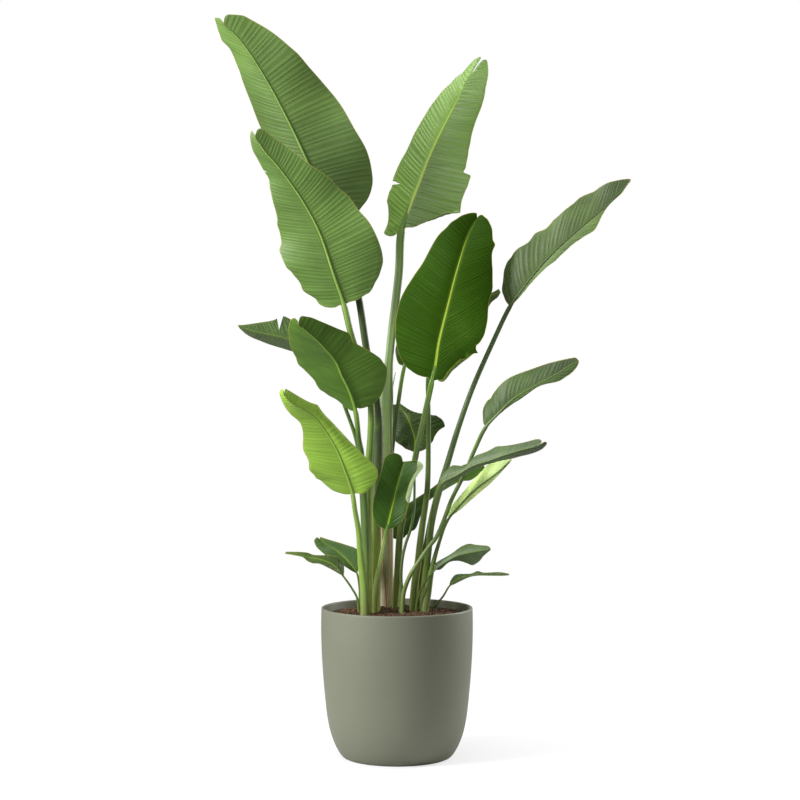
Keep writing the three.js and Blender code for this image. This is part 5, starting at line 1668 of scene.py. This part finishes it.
def bead_recipe():
    """Rounds every line of edges into a thin bead, as wide as the line's own width says."""
    r = Recipe("edge_beads", {"Width": "NodeSocketFloat", "Material": "NodeSocketMaterial"})
    line = r.node("GeometryNodeMeshToCurve", inputs={"Mesh": r.given["Geometry"]})
    wide = r.node("GeometryNodeInputNamedAttribute", {"data_type": "FLOAT"}, {"Name": "wide"})
    radius = r.node("ShaderNodeMath", {"operation": "MULTIPLY"}, {0: wide, 1: r.given["Width"]})
    round_bead = {"Resolution": 8, "Radius": 1.0}
    ring = r.node("GeometryNodeCurvePrimitiveCircle", {"mode": "RADIUS"}, round_bead)
    tube = {"Curve": line, "Profile Curve": ring, "Scale": radius, "Fill Caps": True}
    made = r.node("GeometryNodeCurveToMesh", inputs=tube)
    smoothed = r.node("GeometryNodeSetShadeSmooth", inputs={"Geometry": made})
    r.finish(smoothed)
    return r


# ---- the pieces ----
def inner_wall():
    """The pot's inside, [radius, height] from the lip down to the floor's middle."""
    walls = [(radius * MM - POT_WALL, height * MM) for radius, height in POT_PROFILE[2::2]]
    floor = POT_PROFILE[1][0] * MM - POT_WALL
    return [*walls[::-1], (floor, POT_FLOOR), (0, POT_FLOOR)]


class PLANT_OT_pot(bpy.types.Operator):
    """Add the round tapered pot with its rounded lip"""

    bl_idname = "plant.pot"
    bl_label = "Pot"

    def execute(self, context):
        outside = SmoothCurve([*(np.array(POT_PROFILE) * MM), (LIP_RADIUS, POT_TOP)])
        points = outside.at(np.linspace(0, 1, POT_RINGS))
        rounding = POT_TOP - LIP_ROUNDING
        side = [tuple(point) for point in points if point[1] < rounding]
        outer = (LIP_RADIUS - LIP_ROUNDING, rounding)
        inner = (LIP_RADIUS - POT_WALL + LIP_ROUNDING, rounding)
        lip = arc(outer, LIP_ROUNDING, 0, 90, LIP_STEPS)
        lip += arc(inner, LIP_ROUNDING, 90, 180, LIP_STEPS)
        shell = Shell()
        shell.add(*turned([(0, 0), *side, *lip, *inner_wall()], POT_SIDES))
        piece = shell.make("pot_shell", [pot_finish(context.scene.plant_pot)], sharp=50)
        settle(piece, "pot", "pot")
        return {"FINISHED"}


def soil_height(x, y, unevenness):
    """The soil's surface: a low mound, with lumps that die out at the pot's wall."""
    radius = np.hypot(x, y)
    edge = LIP_RADIUS - POT_WALL
    rise = np.sin(np.clip(1 - radius / edge, 0, 1) * math.pi / 2)
    mound = SOIL_EDGE + (SOIL_CENTRE - SOIL_EDGE) * rise
    lumps = np.sin(x * 96 + 1.3) * np.cos(y * 88 - 0.4)
    lumps = lumps + 0.6 * np.sin(x * 210 - y * 170) * np.cos(y * 240)
    return mound + unevenness * 0.5 * lumps * smooth(0, 0.02, edge - radius)


class PLANT_OT_soil(bpy.types.Operator):
    """Add the potting soil, up to its lumpy surface"""

    bl_idname = "plant.soil"
    bl_label = "Soil"

    def execute(self, context):
        settings = context.scene.plant_soil
        radii = np.linspace(LIP_RADIUS - POT_WALL - SOIL_ROOM, 0, SOIL_RINGS)
        inner = [(radius - SOIL_ROOM, height) for radius, height in inner_wall()[-2::-1]]
        profile = [(0, POT_FLOOR), *inner, *[(radius, SOIL_EDGE) for radius in radii]]
        points, faces = turned(profile, POT_SIDES)
        top = points[:, 2] >= SOIL_EDGE - 1e-6
        points[top, 2] = soil_height(points[top, 0], points[top, 1], settings.unevenness)
        shell = Shell()
        shell.add(points, faces)
        piece = shell.make("potting_soil", [soil_finish("potting_soil", settings, False)])
        settle(piece, "soil", "soil")
        return {"FINISHED"}


class PLANT_OT_crumbs(bpy.types.Operator):
    """Scatter peat crumbs and bark chips over the soil"""

    bl_idname = "plant.crumbs"
    bl_label = "Soil crumbs"

    def execute(self, context):
        settings = context.scene.plant_soil
        material = soil_finish("soil_crumbs", settings, True)
        recipe = crumb_recipe()
        kinds = {
            "soil_crumbs": (settings.crumbs, settings.crumb_size),
            "soil_chips": (settings.chips, settings.chip_size),
        }
        for order, (name, (density, size)) in enumerate(kinds.items()):
            seed = settings.seed + order
            inputs = {"Density": density, "Size": size, "Seed": seed, "Material": material}
            piece = recipe.cook(self.surface(settings, size), name, **inputs)
            settle(piece, "soil")
        return {"FINISHED"}

    @staticmethod
    def surface(settings, size):
        """The soil's surface as far as a crumb of this size lies free of the pot's wall."""
        edge = LIP_RADIUS - POT_WALL - size * 0.6
        steps = CRUMB_GRID
        grid = np.linspace(-edge, edge, steps)
        x, y = np.meshgrid(grid, grid)
        points = np.stack([x, y, soil_height(x, y, settings.unevenness)], axis=-1).reshape(-1, 3)
        free = np.hypot(x, y) < edge
        whole = free[:-1, :-1] & free[:-1, 1:] & free[1:, :-1] & free[1:, 1:]
        corners = [i * steps + j for i, j in np.argwhere(whole)]
        faces = [(low, low + 1, low + steps + 1, low + steps) for low in corners]
        shell = Shell()
        shell.add(points, faces)
        return shell.make("soil_surface", [])


class PLANT_OT_leaves(bpy.types.Operator):
    """Add every leaf: its stalk, its midrib and its pleated blade"""

    bl_idname = "plant.leaves"
    bl_label = "Leaves"

    def execute(self, context):
        settings = context.scene.plant_leaf
        for order, (node, leaf) in enumerate(LEAVES.items()):
            name = node.removeprefix("leaf_") + "_leaf"
            path = LeafPath(leaf)
            shell = Shell()
            add_blade(shell, leaf, path, settings, 1.3 * order)
            add_stalk(shell, leaf, path)
            finishes = [blade_finish(name, leaf, settings), stalk_finish(name, leaf, settings)]
            piece = shell.make(name, finishes, sharp=LEAF_SHARP)
            settle(piece, leaf["slot"], node)
        return {"FINISHED"}


class PLANT_OT_spear(bpy.types.Operator):
    """Add the rolled young leaf, a plain tapering spear"""

    bl_idname = "plant.spear"
    bl_label = "Rolled leaf"

    def execute(self, context):
        settings = context.scene.plant_leaf
        shell = Shell()
        add_stalk(shell, SPEAR, LeafPath(SPEAR))
        finish = stalk_finish("rolled_spear", SPEAR, settings)
        piece = shell.make("rolled_spear", [finish, finish], sharp=LEAF_SHARP)
        settle(piece, SPEAR["slot"], "leaf_rolled_spear")
        return {"FINISHED"}


class PLANT_OT_sheath_edges(bpy.types.Operator):
    """Run the thin dry edges of the sheaths up both sides of each thick stalk's channel"""

    bl_idname = "plant.sheath_edges"
    bl_label = "Sheath edges"

    def execute(self, context):
        settings = context.scene.plant_leaf
        points, lines, wide, dry = [], [], [], []
        for leaf in LEAVES.values():
            if leaf["size"]["root"][0] < SHEATH_ROOT:
                continue
            path = LeafPath(leaf)
            share = np.linspace(*SHEATH_SPAN, EDGE_STEPS) * path.foot
            share = share[path.place(share)[:, 2] > SOIL_EDGE]
            up = path.up(share)
            size = stalk_half(leaf, up)[:, 0] / EDGE_FULL
            for side in (-1, 1):
                around = side * seam_angle(leaf, up)[:, None]
                start = len(points)
                points.extend(stalk_section(leaf, path, share, around, EDGE_LIFT)[:, 0])
                lines.extend((start + i, start + i + 1) for i in range(len(share) - 1))
                thin = np.clip(size, 0.35, 1) * (1.05 - 0.45 * up) * smooth(0.6, 0.4, up)
                wide.extend(thin + 0.12)
                dry.extend(leaf["dryness"] * smooth(0.55, 0.35, up))
        mesh = bpy.data.meshes.new("edge_lines")
        mesh.from_pydata([tuple(point) for point in points], lines, [])
        for label, held in (("wide", wide), ("dry", dry)):
            mesh.attributes.new(label, "FLOAT", "POINT").data.foreach_set("value", np.array(held))
        base = bpy.data.objects.new("edge_lines", mesh)
        context.scene.collection.objects.link(base)
        inputs = {"Width": settings.edge_width, "Material": edge_finish(settings)}
        piece = bead_recipe().cook(base, "sheath_edges", **inputs)
        settle(piece, "leaf_mid")
        return {"FINISHED"}


class PLANT_OT_stage(bpy.types.Operator):
    """Add the pale floor, the soft lights and the camera at the photograph's angle"""

    bl_idname = "plant.stage"
    bl_label = "Stage"

    def execute(self, context):
        settings = context.scene.plant_stage
        self.floor(settings)
        for name, (place, target, size, spread) in LIGHTS.items():
            power = getattr(settings, name)
            self.light(f"{name}_light", place, target, size, spread, power)
        self.surroundings(context, settings)
        self.camera(context)
        return {"FINISHED"}

    @staticmethod
    def floor(settings):
        shell = Shell()
        angles = np.linspace(0, math.tau, FLOOR_SIDES, endpoint=False)
        rim = np.stack([np.cos(angles), np.sin(angles), np.zeros(FLOOR_SIDES)], axis=-1)
        shell.add(rim * FLOOR_RADIUS, [tuple(range(FLOOR_SIDES))])
        floor = shell.make("studio_floor", [floor_finish(settings)])

    @staticmethod
    def light(name, place, target, size, spread, power):
        data = bpy.data.lights.new(name, "AREA")
        data.size = size
        data.spread = math.radians(spread)
        data.energy = power
        lamp = bpy.data.objects.new(name, data)
        lamp.location = place
        aim = Vector(target) - Vector(place)
        lamp.rotation_euler = aim.to_track_quat("-Z", "Y").to_euler()
        bpy.context.scene.collection.objects.link(lamp)

    @staticmethod
    def surroundings(context, settings):
        world = bpy.data.worlds.new("studio_white")
        world.use_nodes = True
        nodes, links = world.node_tree.nodes, world.node_tree.links
        shown = nodes.new("ShaderNodeBackground")
        shown.inputs["Color"].default_value = (1, 1, 1, 1)
        shown.inputs["Strength"].default_value = 1.0
        around = nodes["Background"]
        around.inputs["Color"].default_value = (1, 1, 1, 1)
        around.inputs["Strength"].default_value = settings.ambient
        ray = nodes.new("ShaderNodeLightPath")
        either = nodes.new("ShaderNodeMixShader")
        links.new(ray.outputs["Is Camera Ray"], either.inputs[0])
        links.new(around.outputs[0], either.inputs[1])
        links.new(shown.outputs[0], either.inputs[2])
        links.new(either.outputs[0], nodes["World Output"].inputs["Surface"])
        context.scene.world = world
        context.scene.view_settings.view_transform = "Standard"

    @staticmethod
    def camera(context):
        data = bpy.data.cameras.new("camera")
        data.sensor_width = 36
        data.lens = CAMERA_LENS
        data.clip_end = 100
        camera = bpy.data.objects.new("camera", data)
        camera.location = EYE
        camera.rotation_euler = (math.radians(90 - CAMERA_PITCH), 0, 0)
        context.scene.collection.objects.link(camera)
        context.scene.camera = camera


class PLANT_PT_panel(bpy.types.Panel):
    """Lists the settings, and the pieces in the order that they are made"""

    bl_idname = "PLANT_PT_panel"
    bl_label = "Potted bird of paradise"
    bl_space_type = "VIEW_3D"
    bl_region_type = "UI"
    bl_category = "Plant"

    def draw(self, context):
        for label in GROUPS:
            box = self.layout.box()
            settings = getattr(context.scene, label)
            for name in type(settings).__annotations__:
                box.prop(settings, name)
        for operator in OPERATORS:
            self.layout.operator(operator.bl_idname)


GROUPS = {
    "plant_pot": PotSettings, "plant_soil": SoilSettings, "plant_leaf": LeafSettings,
    "plant_stage": StageSettings,
}
OPERATORS = [
    PLANT_OT_stage, PLANT_OT_pot, PLANT_OT_soil, PLANT_OT_crumbs, PLANT_OT_leaves, PLANT_OT_spear,
    PLANT_OT_sheath_edges,
]


def register():
    for kind in [*GROUPS.values(), *OPERATORS, PLANT_PT_panel]:
        bpy.utils.register_class(kind)
    for label, kind in GROUPS.items():
        setattr(bpy.types.Scene, label, bpy.props.PointerProperty(type=kind))


def unregister():
    for label in GROUPS:
        delattr(bpy.types.Scene, label)
    for kind in reversed([*GROUPS.values(), *OPERATORS, PLANT_PT_panel]):
        bpy.utils.unregister_class(kind)


def main():
    register()
    for operator in OPERATORS:
        group, name = operator.bl_idname.split(".")
        getattr(getattr(bpy.ops, group), name)()


if __name__ == "__main__":
    main()
